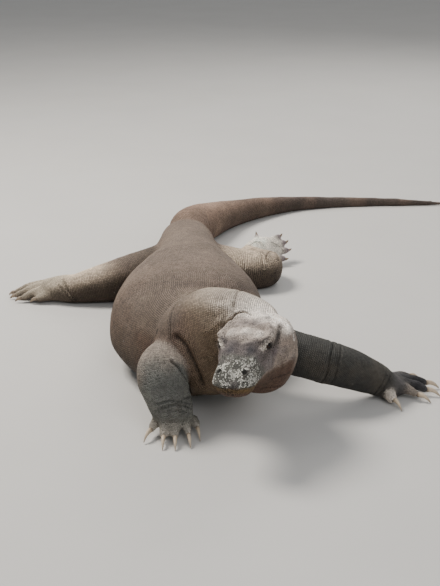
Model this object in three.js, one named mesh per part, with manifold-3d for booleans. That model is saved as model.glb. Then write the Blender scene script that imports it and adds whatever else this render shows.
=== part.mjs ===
// Komodo dragon, adult, resting on its belly with its head raised and turned: life size.
// Millimetres, +Z up, snout towards -Y, tail towards +Y, the animal's left side towards +X.
// Every part of flesh is a loft of oval sections along a smooth route. The lofts are joined, trimmed
// flat where they lie on the floor, and parted by thin cuts into the named pieces.
import * as THREE from "three";
import Module from "manifold-3d";

const wasm = await Module();
wasm.setup();

// ---- Driving dimensions ----

const GAP = 0.4; // clear space between neighbouring pieces
const EYE_RADIUS = 9;
const HEAD_BASE = [1, -645, 181]; // on the head's axis, level with the back of the skull
const HEAD_YAW = 18; // degrees that the snout turns towards the animal's right
const HEAD_PITCH = 3; // degrees that the snout points down
const HEAD_ROLL = 5.5; // degrees that the head's left side is raised
const FORE_CLAW_LENGTH = 30;
const HIND_CLAW_LENGTH = 17;
const LEFT_HIND_CLAW_LENGTH = 12;
const CLAW_ROOT = 0.12; // share of a claw's length that its toe covers
const CLAW_RISE = 0.32; // how steeply a claw leaves its toe
const CLAW_HOOK = 0.76; // and how far it curls down at its tip, as shares of its length
const CLAW_GIRTH = 9; // the radius of toe beyond which claws grow no thicker
const TOE_WIDTH = 0.92; // a toe's half width and its depth below its line, in radii
const TOE_PAD = 1.3;

// A station is a section's centre x, y, z, its half width, and its height above and depth below
// the centre.
const TRUNK = [
  [-166, 352, 52, 34, 34, 36],
  [-165, 300, 56, 60, 60, 60],
  [-163, 210, 62, 74, 80, 68],
  [-160, 100, 66, 83, 98, 72],
  [-152, -10, 70, 88, 112, 76],
  [-148, -110, 74, 107, 124, 80],
  [-146, -210, 78, 137, 136, 84],
  [-145, -320, 80, 165, 146, 86],
  [-144, -420, 82, 163, 148, 88],
  [-138, -500, 94, 122, 134, 94],
  [-122, -556, 110, 86, 110, 94],
  [-112, -590, 116, 60, 76, 80],
  [-106, -606, 118, 24, 34, 36],
];

const NECK = [
  [-168, -538, 108, 52, 60, 64],
  [-140, -560, 120, 76, 88, 90],
  [-108, -577, 133, 86, 103, 103],
  [-74, -589, 146, 86, 107, 104],
  [-38, -600, 158, 78, 95, 102],
  [-4, -608, 166, 68, 77, 96],
  [20, -612, 170, 54, 60, 78],
  [34, -614, 171, 36, 40, 52],
  [42, -615, 171, 12, 14, 18],
];

const TAIL = [
  [-164, 270, 60, 40, 44, 48],
  [-164, 340, 62, 58, 60, 66],
  [-148, 426, 58, 55, 58, 62],
  [-106, 514, 50, 49, 51, 54],
  [-40, 610, 40, 35, 40, 42],
  [50, 702, 31, 26, 31, 33],
  [162, 772, 23, 17, 23, 25],
  [296, 810, 17, 12, 17, 19],
  [430, 824, 14, 10, 14, 16],
  [556, 828, 10, 7, 10, 12],
  [640, 832, 6, 3.5, 5.5, 6],
  [664, 834, 5, 1.6, 2.2, 2.2],
];

// The head's stations run along its own axis, forward from HEAD_BASE.
const HEAD = [
  [0, -34, -4, 48, 34, 70],
  [0, -24, -3, 58, 40, 84],
  [0, 0, 0, 70, 45, 100],
  [0, 20, 0, 75, 47, 108],
  [0, 44, 0, 71, 47, 102],
  [0, 68, 0, 61, 46, 82],
  [0, 92, -2, 53, 42, 58],
  [0, 120, -5, 45, 35, 41],
  [0, 148, -8, 41, 30, 33],
  [0, 172, -10, 39, 25, 30],
  [0, 186, -12, 33, 19, 25],
  [0, 195, -14, 16, 10, 15],
];
const BROW = { along: 76, out: 41, above: 30, half: [10, 26, 8] };
const EYE = { along: 93, out: 41, above: 25 };
const MOUTH = { corner: 50, level: -21, slope: 0.06, length: 220, width: 160 };

const RIGHT_ARM = [
  [-118, -536, 92, 48, 46, 48],
  [-152, -584, 100, 50, 45, 50],
  [-178, -630, 110, 51, 47, 52],
  [-186, -664, 104, 48, 45, 54],
  [-176, -684, 78, 44, 38, 44],
  [-166, -694, 50, 41, 32, 34],
  [-163, -696, 31, 37, 22, 35],
  [-164, -705, 20, 34, 12, 24],
];
const LEFT_ARM = [
  [-70, -520, 112, 48, 50, 50],
  [16, -546, 116, 47, 44, 48],
  [84, -566, 108, 44, 38, 46],
  [140, -572, 92, 43, 39, 45],
  [196, -562, 70, 39, 37, 43],
  [244, -548, 46, 33, 28, 38],
  [270, -537, 30, 33, 21, 32],
  [291, -526, 21, 34, 13, 24],
];
const RIGHT_LEG = [
  [-160, 92, 74, 54, 54, 56],
  [-222, 56, 72, 56, 50, 62],
  [-282, 22, 66, 54, 47, 64],
  [-336, -2, 58, 48, 44, 60],
  [-392, -16, 49, 40, 38, 50],
  [-434, -16, 41, 36, 31, 42],
  [-472, -6, 36, 39, 28, 38],
  [-515, 5, 30, 33, 21, 31.5],
];
const LEFT_LEG = [
  [-120, 112, 64, 50, 50, 54],
  [-62, 92, 60, 52, 47, 58],
  [-8, 82, 56, 52, 43, 56],
  [36, 94, 50, 47, 40, 52],
  [46, 134, 46, 38, 36, 50],
  [20, 172, 46, 32, 30, 50],
  [0, 202, 48, 28, 26, 40],
  [4, 224, 50, 14, 12, 14],
];
const LEFT_SOLE = [
  [-4, 212, 50, 18, 18, 18],
  [14, 226, 50, 30, 19, 21],
  [38, 239, 49, 39, 15, 18],
  [64, 250, 47, 38, 11, 14],
];

// A toe is the place of its knuckle x, y, z, the way that it points in degrees from +X towards +Y
// and above the floor, and the length and radius of its flesh.
const RIGHT_HAND_TOES = [
  [-122, -686, 20, -78, -14, 22, 7.6],
  [-140, -699, 29, -80, -22, 38, 8.6],
  [-160, -703, 30, -88, -22, 42, 9.6],
  [-180, -701, 30, -91, -22, 42, 10.2],
  [-194, -693, 25, -116, -16, 29, 8.8],
];
const LEFT_HAND_TOES = [
  [257, -556, 22, -62, -12, 37, 12.5],
  [286, -546, 26, -25, -14, 46, 9.8],
  [300, -531, 27, -12, -14, 52, 9.4],
  [303, -513, 27, 4, -14, 52, 9.4],
  [286, -500, 25.5, 30, -14, 44, 9],
];
const RIGHT_FOOT_TOES = [
  [-490, -27, 20, 190, -8, 44, 11],
  [-510, -16, 32, 188, -18, 66, 9],
  [-514, 0, 38, 182, -20, 80, 9],
  [-516, 15, 39, 175, -20, 86, 9],
  [-506, 29, 34, 167, -18, 72, 8.8],
];
const LEFT_FOOT_TOES = [
  [26, 250, 68, 92, 32, 22, 9],
  [60, 266, 64, 42, 8, 40, 10],
  [68, 260, 54, 36, 0, 46, 10],
  [72, 252, 41, 28, -6, 46, 10],
  [66, 240, 27, 10, -10, 38, 10],
];

// ---- Materials ----

const SKIN = new THREE.MeshStandardMaterial({ color: 0x6b6256, roughness: 0.75, metalness: 0 });
const CLAW = new THREE.MeshStandardMaterial({ color: 0xb09a78, roughness: 0.45, metalness: 0 });
const EYE_BALL = new THREE.MeshStandardMaterial({ color: 0x17110c, roughness: 0.1, metalness: 0 });

// ---- Lofts ----

const UP = new THREE.Vector3(0, 0, 1);
const ROUNDNESS = 2.25; // exponent of the oval sections: 2 is an ellipse
const BODY_SIDES = 20; // facets round the trunk, neck and head
const LIMB_SIDES = 12; // facets round the tail and limbs
const TOE_SIDES = 6;
const CLAW_SIDES = 5;
const BALL_SIDES = 8; // facets round the eyes and brows

// A route holds a smooth curve through the stations' centres and another through their sizes.
function route(stations, up = UP) {
  const smooth = (pick) =>
    new THREE.CatmullRomCurve3(stations.map(pick), false, "catmullrom", 0.5);
  return {
    centres: smooth((s) => new THREE.Vector3(s[0], s[1], s[2])),
    halves: smooth((s) => new THREE.Vector3(s[3], s[4], s[5])),
    spans: stations.length - 1,
    up,
  };
}

// The place and directions of the section at station number n, which may be a fraction.
function sectionAt(line, n) {
  const t = Math.min(1, Math.max(0, n / line.spans));
  const along = line.centres.getTangent(t);
  const side = along.clone().cross(line.up).normalize();
  return {
    centre: line.centres.getPoint(t),
    half: line.halves.getPoint(t),
    along,
    side,
    up: side.clone().cross(along),
  };
}

function ring(section, sides, grow) {
  const { centre, half, side, up } = section;
  return Array.from({ length: sides }, (_, i) => {
    const angle = ((i + 0.5) / sides) * 2 * Math.PI;
    const bend = (value) => Math.sign(value) * Math.abs(value) ** (2 / ROUNDNESS);
    const height = Math.sin(angle) > 0 ? half.y : half.z;
    return centre
      .clone()
      .addScaledVector(side, bend(Math.cos(angle)) * (half.x + grow))
      .addScaledVector(up, bend(Math.sin(angle)) * (height + grow));
  });
}

// A closed solid through a list of rings, with a fan at each end.
function solidThrough(rings) {
  const sides = rings[0].length;
  const middle = (points) =>
    points.reduce((sum, p) => sum.add(p), new THREE.Vector3()).divideScalar(sides);
  const points = [...rings.flat(), middle(rings[0]), middle(rings.at(-1))];
  const faces = [];
  const last = (rings.length - 1) * sides;
  for (let i = 0; i < sides; i++) {
    const j = (i + 1) % sides;
    for (let r = 0; r < last; r += sides) {
      faces.push(r + i, r + sides + i, r + j, r + j, r + sides + i, r + sides + j);
    }
    faces.push(points.length - 2, i, j, points.length - 1, last + j, last + i);
  }
  return new wasm.Manifold(
    new wasm.Mesh({
      numProp: 3,
      vertProperties: new Float32Array(points.flatMap((p) => p.toArray())),
      triVerts: new Uint32Array(faces),
    }),
  );
}

// A loft with the given number of facets round it and rings to each span between stations. Grown, it
// is thicker all round and longer at both ends.
function loft(line, { sides, steps, grow = 0 }) {
  const count = line.spans * steps;
  const rings = Array.from({ length: count + 1 }, (_, i) => {
    const section = sectionAt(line, i / steps);
    section.centre.addScaledVector(section.along, grow * ((2 * i) / count - 1));
    return ring(section, sides, grow);
  });
  return solidThrough(rings);
}

// A three.js geometry as a solid for joining and cutting.
function solidOf(geometry) {
  const faces = geometry.index.array;
  const position = geometry.getAttribute("position");
  const mesh = new wasm.Mesh({
    numProp: 3,
    vertProperties: new Float32Array(position.array),
    triVerts: new Uint32Array(faces),
  });
  mesh.merge();
  return new wasm.Manifold(mesh);
}

function join(solids) {
  return solids.reduce((sum, solid) => sum.add(solid));
}

// The separate bodies of a solid, largest first.
function bodiesOf(solid) {
  return solid.decompose().sort((a, b) => b.volume() - a.volume());
}

// The body whose box is centred nearest to a point.
function bodyNear(bodies, point) {
  const distance = (body) => {
    const { min, max } = body.boundingBox();
    const centre = new THREE.Vector3(...min).add(new THREE.Vector3(...max)).multiplyScalar(0.5);
    return centre.distanceTo(point);
  };
  return bodies.reduce((best, body) => (distance(body) < distance(best) ? body : best));
}

// A thin plate across a line at station number n, wider than its section by the given share.
function plateAcross(line, n, reach = 1.5) {
  const { centre, half, along, side, up } = sectionAt(line, n);
  const height = 2 * Math.max(half.y, half.z) * reach;
  const plate = new THREE.BoxGeometry(2 * half.x * reach, GAP, height);
  plate.applyMatrix4(new THREE.Matrix4().makeBasis(side, along, up).setPosition(centre));
  return solidOf(plate);
}

const FLOOR_SIZE = 6000;
const FLOOR_DEPTH = 400;

// Everything under the floor, to trim what rests on it to small flats at one level.
function underFloor() {
  const block = new THREE.BoxGeometry(FLOOR_SIZE, FLOOR_SIZE, FLOOR_DEPTH);
  return solidOf(block.translate(0, 0, -FLOOR_DEPTH / 2));
}

// ---- Head ----

// Head directions: local +X is the animal's right, +Y the way that the snout points, +Z the crown.
function headMatrix() {
  const yaw = THREE.MathUtils.degToRad(HEAD_YAW);
  const pitch = THREE.MathUtils.degToRad(HEAD_PITCH);
  const roll = THREE.MathUtils.degToRad(HEAD_ROLL);
  const forward = new THREE.Vector3(-Math.sin(yaw), -Math.cos(yaw), 0);
  forward.multiplyScalar(Math.cos(pitch)).setZ(-Math.sin(pitch));
  const level = forward.clone().cross(UP).normalize();
  const crown = level.clone().cross(forward).applyAxisAngle(forward, roll);
  const right = forward.clone().cross(crown);
  return new THREE.Matrix4().makeBasis(right, forward, crown).setPosition(...HEAD_BASE);
}

const HEAD_MATRIX = headMatrix();
const HEAD_UP = new THREE.Vector3().setFromMatrixColumn(HEAD_MATRIX, 2);

function headRoute() {
  const placed = HEAD.map(([x, y, z, ...half]) => {
    const centre = new THREE.Vector3(x, y, z).applyMatrix4(HEAD_MATRIX);
    return [...centre.toArray(), ...half];
  });
  return route(placed, HEAD_UP);
}

function headBall(x, y, z, half) {
  const ball = new THREE.SphereGeometry(1, BALL_SIDES, BALL_SIDES / 2).scale(...half).translate(x, y, z);
  return solidOf(ball.applyMatrix4(HEAD_MATRIX));
}

// One ridge of brow on each side: side is 1 on the animal's right and -1 on its left.
function brow(side, grow) {
  const half = BROW.half.map((size) => size + grow);
  return headBall(side * BROW.out, BROW.along, BROW.above, half);
}

function eyeBall(side, radius) {
  return headBall(side * EYE.out, EYE.along, EYE.above, [radius, radius, radius]);
}

// The mouth's cut runs back from the snout to its corner, then down through the throat.
function mouthCut() {
  const { corner, level, slope, length, width } = MOUTH;
  const slit = new THREE.BoxGeometry(width, length, GAP);
  slit.rotateX(slope).translate(0, corner + length / 2, level);
  const drop = new THREE.BoxGeometry(width, GAP, width);
  drop.rotateX(-slope).translate(0, corner, level - width / 2 + GAP);
  return join([slit, drop].map((plate) => solidOf(plate.applyMatrix4(HEAD_MATRIX))));
}

// ---- Hands and feet ----

// The way that a toe points.
function toeDirection([, , , turn, rise]) {
  const azimuth = THREE.MathUtils.degToRad(turn);
  const elevation = THREE.MathUtils.degToRad(rise);
  const level = Math.cos(elevation);
  return new THREE.Vector3(
    Math.cos(azimuth) * level,
    Math.sin(azimuth) * level,
    Math.sin(elevation),
  );
}

// The flesh of a toe, from inside the palm over its arched knuckles to the root of its claw.
function toe(digit, back, grow = 0) {
  const [x, y, z, , , length, radius] = digit;
  const direction = toeDirection(digit);
  const station = (share, arch, size) => {
    const centre = new THREE.Vector3(x, y, z);
    centre.addScaledVector(direction, length * share).addScaledVector(back, radius * arch);
    return [...centre.toArray(), radius * size * TOE_WIDTH, radius * size, radius * size * TOE_PAD];
  };
  const stations = [
    station(-0.5, 0, 0.95),
    station(0, 0.1, 1.05),
    station(0.45, 0.32, 1.08),
    station(0.8, 0.1, 0.95),
    station(1, 0, 0.72),
  ];
  return loft(route(stations, back), { sides: TOE_SIDES, steps: 1, grow });
}

// A claw grows from the end of its toe, rises a little and curls towards the sole.
function claw(digit, clawLength, back) {
  const [x, y, z, , , length, radius] = digit;
  const direction = toeDirection(digit);
  const level = direction.clone().addScaledVector(back, -direction.dot(back)).normalize();
  const stations = [0, 0.35, 0.75, 1].map((share) => {
    const centre = new THREE.Vector3(x, y, z).addScaledVector(direction, length);
    const rise = clawLength * (CLAW_RISE * share - CLAW_HOOK * share ** 2);
    centre.addScaledVector(level, clawLength * (share - CLAW_ROOT)).addScaledVector(back, rise);
    const size = Math.min(radius, CLAW_GIRTH) * (0.6 - 0.5 * share ** 1.9);
    return [...centre.toArray(), size * 0.8, size, size];
  });
  const whole = loft(route(stations, back), { sides: CLAW_SIDES, steps: 1 });
  return bodiesOf(whole.subtract(toe(digit, back, GAP)))[0];
}

// ---- Limbs ----

// A limb of three pieces, with its toes, cut clear of the trunk, neck, head and tail.
function limb({ stations, up, soles, toes, back, names, cuts }, body, floor) {
  const line = route(stations, up);
  const whole = join([
    loft(line, { sides: LIMB_SIDES, steps: 2 }),
    ...soles.map((sole) => loft(route(sole, back), { sides: LIMB_SIDES, steps: 1 })),
    ...toes.map((digit) => toe(digit, back)),
  ]);
  const clear = bodiesOf(whole.subtract(body).subtract(floor))[0];
  const plates = cuts.map((n) => plateAcross(line, n, 1.5));
  const pieces = bodiesOf(clear.subtract(join(plates)));
  const ends = [0, ...cuts, line.spans];
  return names.map((name, i) => {
    const middle = sectionAt(line, (ends[i] + ends[i + 1]) / 2).centre;
    return { name, solid: bodyNear(pieces, middle), material: SKIN };
  });
}

// A limb's stations, the way that its upper side faces, where it is cut, and the way that the back
// of its hand or foot faces: the left foot is turned over, with its sole up.
const LEFT_FOOT_BACK = new THREE.Vector3(0.2, 0.75, -0.6).normalize();
const LIMBS = [
  {
    names: ["upper_arm_right", "forearm_right", "hand_right"],
    stations: RIGHT_ARM,
    up: new THREE.Vector3(0, -0.5, 1),
    soles: [],
    cuts: [2.6, 5.2],
    toes: RIGHT_HAND_TOES,
    back: UP,
    clawLength: FORE_CLAW_LENGTH,
  },
  {
    names: ["upper_arm_left", "forearm_left", "hand_left"],
    stations: LEFT_ARM,
    up: UP,
    soles: [],
    cuts: [2.8, 5],
    toes: LEFT_HAND_TOES,
    back: UP,
    clawLength: FORE_CLAW_LENGTH,
  },
  {
    names: ["thigh_right", "shank_right", "foot_right"],
    stations: RIGHT_LEG,
    up: UP,
    soles: [],
    cuts: [2.6, 5],
    toes: RIGHT_FOOT_TOES,
    back: UP,
    clawLength: HIND_CLAW_LENGTH,
  },
  {
    names: ["thigh_left", "shank_left", "foot_left"],
    stations: LEFT_LEG,
    up: UP,
    soles: [LEFT_SOLE],
    cuts: [3, 5.3],
    toes: LEFT_FOOT_TOES,
    back: LEFT_FOOT_BACK,
    clawLength: LEFT_HIND_CLAW_LENGTH,
  },
];

function claws({ names, toes, clawLength, back }) {
  const foot = names[2];
  return toes.map((digit, i) => ({
    name: `${foot}_claw_${i + 1}`,
    solid: claw(digit, clawLength, back),
    material: CLAW,
  }));
}

// ---- Trunk, neck, head and tail ----

const TRUNK_LINE = route(TRUNK);
const NECK_LINE = route(NECK);
const TAIL_LINE = route(TAIL);
const HEAD_LINE = headRoute();
const SIDES = [1, -1];

function trunkFlesh(grow) {
  return loft(TRUNK_LINE, { sides: BODY_SIDES, steps: 2, grow });
}

function neckFlesh(grow) {
  return loft(NECK_LINE, { sides: BODY_SIDES, steps: 1, grow });
}

function headFlesh(grow) {
  const skull = loft(HEAD_LINE, { sides: BODY_SIDES, steps: 1, grow });
  return join([skull, ...SIDES.map((side) => brow(side, grow))]);
}

function tailFlesh(grow) {
  return loft(TAIL_LINE, { sides: LIMB_SIDES, steps: 2, grow });
}

// The pieces of a solid nearest to named points.
function piecesNear(solid, middles) {
  const bodies = bodiesOf(solid);
  return Object.entries(middles).map(([name, middle]) => ({
    name,
    solid: bodyNear(bodies, middle),
    material: SKIN,
  }));
}

function head() {
  const sockets = SIDES.map((side) => eyeBall(side, EYE_RADIUS + GAP));
  return piecesNear(headFlesh(0).subtract(join([...sockets, mouthCut()])), {
    head: sectionAt(HEAD_LINE, 5).centre,
    lower_jaw: sectionAt(HEAD_LINE, 8).centre.addScaledVector(HEAD_UP, MOUTH.level),
  });
}

function tail(trunk, floor) {
  const cuts = [plateAcross(TAIL_LINE, 5, 1.6), plateAcross(TAIL_LINE, 8, 1.8)];
  const flesh = tailFlesh(0).subtract(trunk).subtract(floor).subtract(join(cuts));
  return piecesNear(flesh, {
    tail_base: sectionAt(TAIL_LINE, 3).centre,
    tail_middle: sectionAt(TAIL_LINE, 6.5).centre,
    tail_end: sectionAt(TAIL_LINE, 10).centre,
  });
}

function eyes() {
  return SIDES.map((side) => ({
    name: side > 0 ? "eye_right" : "eye_left",
    solid: eyeBall(side, EYE_RADIUS),
    material: EYE_BALL,
  }));
}

// ---- Assembly ----

function meshOf({ name, solid, material }) {
  const { numProp, vertProperties, triVerts } = solid.getMesh();
  const geometry = new THREE.BufferGeometry();
  geometry.setAttribute("position", new THREE.BufferAttribute(vertProperties, numProp));
  geometry.setIndex(new THREE.BufferAttribute(triVerts, 1));
  geometry.computeVertexNormals();
  const mesh = new THREE.Mesh(geometry, material);
  mesh.name = name;
  return mesh;
}

function komodoDragon() {
  const floor = underFloor();
  const trunk = trunkFlesh(GAP);
  const trunkAndHead = trunk.add(headFlesh(GAP));
  const body = join([trunkAndHead, neckFlesh(GAP), tailFlesh(GAP)]);
  const pieces = [
    { name: "trunk", solid: trunkFlesh(0).subtract(floor), material: SKIN },
    { name: "neck", solid: bodiesOf(neckFlesh(0).subtract(trunkAndHead))[0], material: SKIN },
    ...head(),
    ...tail(trunk, floor),
    ...LIMBS.flatMap((part) => limb(part, body, floor)),
    ...LIMBS.flatMap(claws),
    ...eyes(),
  ];
  const animal = new THREE.Group();
  animal.name = "komodo_dragon";
  pieces.forEach((piece) => animal.add(meshOf(piece)));
  const box = new THREE.Box3().setFromObject(animal);
  const centre = box.getCenter(new THREE.Vector3());
  animal.position.set(-centre.x, -centre.y, -box.min.z);
  return animal;
}

export default komodoDragon();
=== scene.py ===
"""Life-size komodo dragon: one skin over every part of flesh, scales laid over it, eyes and claws.

Shapes are worked out in millimetres in the model's own layout, and moved to the frame in metres.
"""

import math

import bmesh
import bpy
import numpy as np
from bpy.props import FloatProperty, FloatVectorProperty, IntProperty, PointerProperty
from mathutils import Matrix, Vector
from mathutils.bvhtree import BVHTree
from mathutils.kdtree import KDTree


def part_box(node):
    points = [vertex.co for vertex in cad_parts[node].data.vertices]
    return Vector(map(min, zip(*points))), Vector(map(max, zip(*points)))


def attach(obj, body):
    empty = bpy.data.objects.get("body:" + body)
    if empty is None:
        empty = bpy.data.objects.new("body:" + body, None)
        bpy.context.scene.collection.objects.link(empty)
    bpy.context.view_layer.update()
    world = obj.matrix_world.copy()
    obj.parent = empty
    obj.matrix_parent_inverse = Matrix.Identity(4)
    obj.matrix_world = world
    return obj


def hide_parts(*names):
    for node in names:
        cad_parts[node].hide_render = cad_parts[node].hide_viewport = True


bl_info = {
    "name": "Komodo Dragon",
    "version": (1, 0, 0),
    "blender": (4, 5, 0),
    "location": "View3D > Sidebar > Komodo",
    "description": "Builds the skin, scales, eyes and claws of a life-size komodo dragon",
    "category": "Add Mesh",
}

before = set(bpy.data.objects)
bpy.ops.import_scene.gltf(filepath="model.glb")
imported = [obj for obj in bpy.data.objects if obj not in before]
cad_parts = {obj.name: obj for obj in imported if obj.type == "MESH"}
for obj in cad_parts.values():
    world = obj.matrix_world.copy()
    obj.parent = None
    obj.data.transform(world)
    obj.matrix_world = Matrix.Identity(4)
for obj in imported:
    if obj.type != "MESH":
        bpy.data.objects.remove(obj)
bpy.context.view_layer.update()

# ---- The animal's layout, in millimetres ----

HEAD_BASE = np.array([1.0, -645.0, 181.0])
HEAD_YAW, HEAD_PITCH, HEAD_ROLL = 18.0, 3.0, 5.5
EYE_PLACE, EYE_RADIUS = np.array([41.0, 93.0, 25.0]), 9.0  # in head coordinates, as the brow is
BROW_PLACE, BROW_HALF = np.array([41.0, 76.0, 30.0]), np.array([10.0, 26.0, 8.0])
ROUNDNESS = 2.25  # the power of a section's oval: 2 would make it an ellipse
UP = (0.0, 0.0, 1.0)
TOE_WIDTH, TOE_PAD = 0.92, 1.3  # a toe's half width and its depth below its line, in radii
# A toe's stations: share of its length, and arch over its line and thickness in radii.
TOE_SHAPE = [(-0.5, 0, 0.95), (0, 0.1, 1.05), (0.45, 0.32, 1.08), (0.8, 0.1, 0.95), (1, 0, 0.72)]
CLAW_RISE, CLAW_HOOK = 0.32, 0.76  # how a claw leaves its toe and curls down, in its lengths

# A station is a section's centre x, y, z, its half width, and its height above and depth below.
TRUNK = [
    (-166, 352, 52, 34, 34, 36), (-165, 300, 56, 60, 60, 60), (-163, 210, 62, 74, 80, 68),
    (-160, 100, 66, 83, 98, 72), (-152, -10, 70, 88, 112, 76), (-148, -110, 74, 107, 124, 80),
    (-146, -210, 78, 137, 136, 84), (-145, -320, 80, 165, 146, 86), (-144, -420, 82, 163, 148, 88),
    (-138, -500, 94, 122, 134, 94), (-122, -556, 110, 86, 110, 94), (-112, -590, 116, 60, 76, 80),
    (-106, -606, 118, 24, 34, 36),
]
NECK = [
    (-168, -538, 108, 52, 60, 64), (-140, -560, 120, 76, 88, 90), (-108, -577, 133, 86, 103, 103),
    (-74, -589, 146, 86, 107, 104), (-38, -600, 158, 78, 95, 102), (-4, -608, 166, 68, 77, 96),
    (20, -612, 170, 54, 60, 78), (34, -614, 171, 36, 40, 52), (42, -615, 171, 12, 14, 18),
]
TAIL = [
    (-164, 270, 60, 40, 44, 48), (-164, 340, 62, 58, 60, 66), (-148, 426, 58, 55, 58, 62),
    (-106, 514, 50, 49, 51, 54), (-40, 610, 40, 35, 40, 42), (50, 702, 31, 26, 31, 33),
    (162, 772, 23, 17, 23, 25), (296, 810, 17, 12, 17, 19), (430, 824, 14, 10, 14, 16),
    (556, 828, 10, 7, 10, 12), (640, 832, 6, 3.5, 5.5, 6), (664, 834, 5, 1.6, 2.2, 2.2),
]
# The head's stations run along its own axis, forward from HEAD_BASE.
HEAD = [
    (0, -34, -4, 48, 34, 70), (0, -24, -3, 58, 40, 84), (0, 0, 0, 70, 45, 100),
    (0, 20, 0, 75, 47, 108), (0, 44, 0, 71, 47, 102), (0, 68, 0, 61, 46, 82),
    (0, 92, -2, 53, 42, 58), (0, 120, -5, 45, 35, 41), (0, 148, -8, 41, 30, 33),
    (0, 172, -10, 39, 25, 30), (0, 186, -12, 33, 19, 25), (0, 195, -14, 16, 10, 15),
]
# A toe is its knuckle x, y, z, its turn and rise in degrees, and its flesh's length and radius.
LIMBS = {
    "arm_right": {
        "line": [
            (-118, -536, 92, 48, 46, 48), (-152, -584, 100, 50, 45, 50), (-178, -630, 110, 51, 47, 52),
            (-186, -664, 104, 48, 45, 54), (-176, -684, 78, 44, 38, 44), (-166, -694, 50, 41, 32, 34),
            (-163, -696, 31, 37, 22, 35), (-164, -705, 20, 34, 12, 24),
        ],
        "up": (0.0, -0.5, 1.0),
        "back": UP,
        "sole": None,
        "claw": 30.0,
        "foot": "hand_right",
        "toes": [
            (-122, -686, 20, -78, -14, 22, 7.6), (-140, -699, 29, -80, -22, 38, 8.6),
            (-160, -703, 30, -88, -22, 42, 9.6), (-180, -701, 30, -91, -22, 42, 10.2),
            (-194, -693, 25, -116, -16, 29, 8.8),
        ],
    },
    "arm_left": {
        "line": [
            (-70, -520, 112, 48, 50, 50), (16, -546, 116, 47, 44, 48), (84, -566, 108, 44, 38, 46),
            (140, -572, 92, 43, 39, 45), (196, -562, 70, 39, 37, 43), (244, -548, 46, 33, 28, 38),
            (270, -537, 30, 33, 21, 32), (291, -526, 21, 34, 13, 24),
        ],
        "up": UP,
        "back": UP,
        "sole": None,
        "claw": 30.0,
        "foot": "hand_left",
        "toes": [
            (257, -556, 22, -62, -12, 37, 12.5), (286, -546, 26, -25, -14, 46, 9.8),
            (300, -531, 27, -12, -14, 52, 9.4), (303, -513, 27, 4, -14, 52, 9.4),
            (286, -500, 25.5, 30, -14, 44, 9),
        ],
    },
    "leg_right": {
        "line": [
            (-160, 92, 74, 54, 54, 56), (-222, 56, 72, 56, 50, 62), (-282, 22, 66, 54, 47, 64),
            (-336, -2, 58, 48, 44, 60), (-392, -16, 49, 40, 38, 50), (-434, -16, 41, 36, 31, 42),
            (-472, -6, 36, 39, 28, 38), (-515, 5, 30, 33, 21, 31.5),
        ],
        "up": UP,
        "back": UP,
        "sole": None,
        "claw": 17.0,
        "foot": "foot_right",
        "toes": [
            (-490, -27, 20, 190, -8, 44, 11), (-510, -16, 32, 188, -18, 66, 9),
            (-514, 0, 38, 182, -20, 80, 9), (-516, 15, 39, 175, -20, 86, 9),
            (-506, 29, 34, 167, -18, 72, 8.8),
        ],
    },
    "leg_left": {
        "line": [
            (-120, 112, 64, 50, 50, 54), (-62, 92, 60, 52, 47, 58), (-8, 82, 56, 52, 43, 56),
            (36, 94, 50, 47, 40, 52), (46, 134, 46, 38, 36, 50), (20, 172, 46, 32, 30, 50),
            (0, 202, 48, 28, 26, 40), (4, 224, 50, 14, 12, 14),
        ],
        "up": UP,
        "back": (0.2, 0.75, -0.6),
        "sole": [
            (-4, 212, 50, 18, 18, 18), (14, 226, 50, 30, 19, 21), (38, 239, 49, 39, 15, 18),
            (64, 250, 47, 38, 11, 14),
        ],
        "claw": 12.0,
        "foot": "foot_left",
        "toes": [
            (26, 250, 68, 92, 32, 22, 9), (60, 266, 64, 42, 8, 40, 10),
            (68, 260, 54, 36, 0, 46, 10), (72, 252, 41, 28, -6, 46, 10),
            (66, 240, 27, 10, -10, 38, 10),
        ],
    },
}


# ---- Small vector helpers ----


def unit(v):
    """Directions of length 1."""
    v = np.asarray(v, float)
    return v / np.maximum(np.linalg.norm(v, axis=-1, keepdims=True), 1e-9)


def smooth(low, high, value):
    """0 below low, 1 above high and an S-curve between."""
    t = np.clip((value - low) / (high - low), 0.0, 1.0)
    return t * t * (3.0 - 2.0 * t)


def hill(distance, width):
    """1 at no distance, falling away on both sides as a bell does."""
    return np.exp(-((distance / width) ** 2))


def near(points, centre, reach):
    """1 at a place and less and less around it."""
    return np.exp(-np.sum(((points - centre) / reach) ** 2, axis=1))


def running(moves):
    """Distances from the start, for the moves between places."""
    return np.concatenate([[0], np.cumsum(moves)])


def laid(lie, normal):
    """Directions turned to lie along the skin."""
    return unit(lie - normal * np.sum(lie * normal, axis=1, keepdims=True))


def tree_of(points):
    """A tree that finds the nearest of points."""
    tree = KDTree(len(points))
    for i, place in enumerate(points):
        tree.insert(place, i)
    tree.balance()
    return tree


def nearest_of(points, others):
    """For each of points, the number of the nearest of others."""
    tree = tree_of(others)
    return np.array([tree.find(place)[1] for place in points])


def head_axes():
    """The head's right, forward and crown directions, as columns."""
    yaw, pitch, roll = (math.radians(a) for a in (HEAD_YAW, HEAD_PITCH, HEAD_ROLL))
    forward = np.array([
        -math.sin(yaw) * math.cos(pitch), -math.cos(yaw) * math.cos(pitch), -math.sin(pitch),
    ])
    level = unit(np.cross(forward, UP))
    crown = np.cross(level, forward)
    crown = crown * math.cos(roll) + np.cross(forward, crown) * math.sin(roll)
    return np.stack([np.cross(forward, crown), forward, crown], axis=1)


HEAD_AXES = head_axes()


def from_head(points):
    """Head coordinates (right, forward, crown) to the layout's."""
    return np.asarray(points, float) @ HEAD_AXES.T + HEAD_BASE


def to_head(points):
    """The layout's coordinates to the head's."""
    return (np.asarray(points, float) - HEAD_BASE) @ HEAD_AXES


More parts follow.
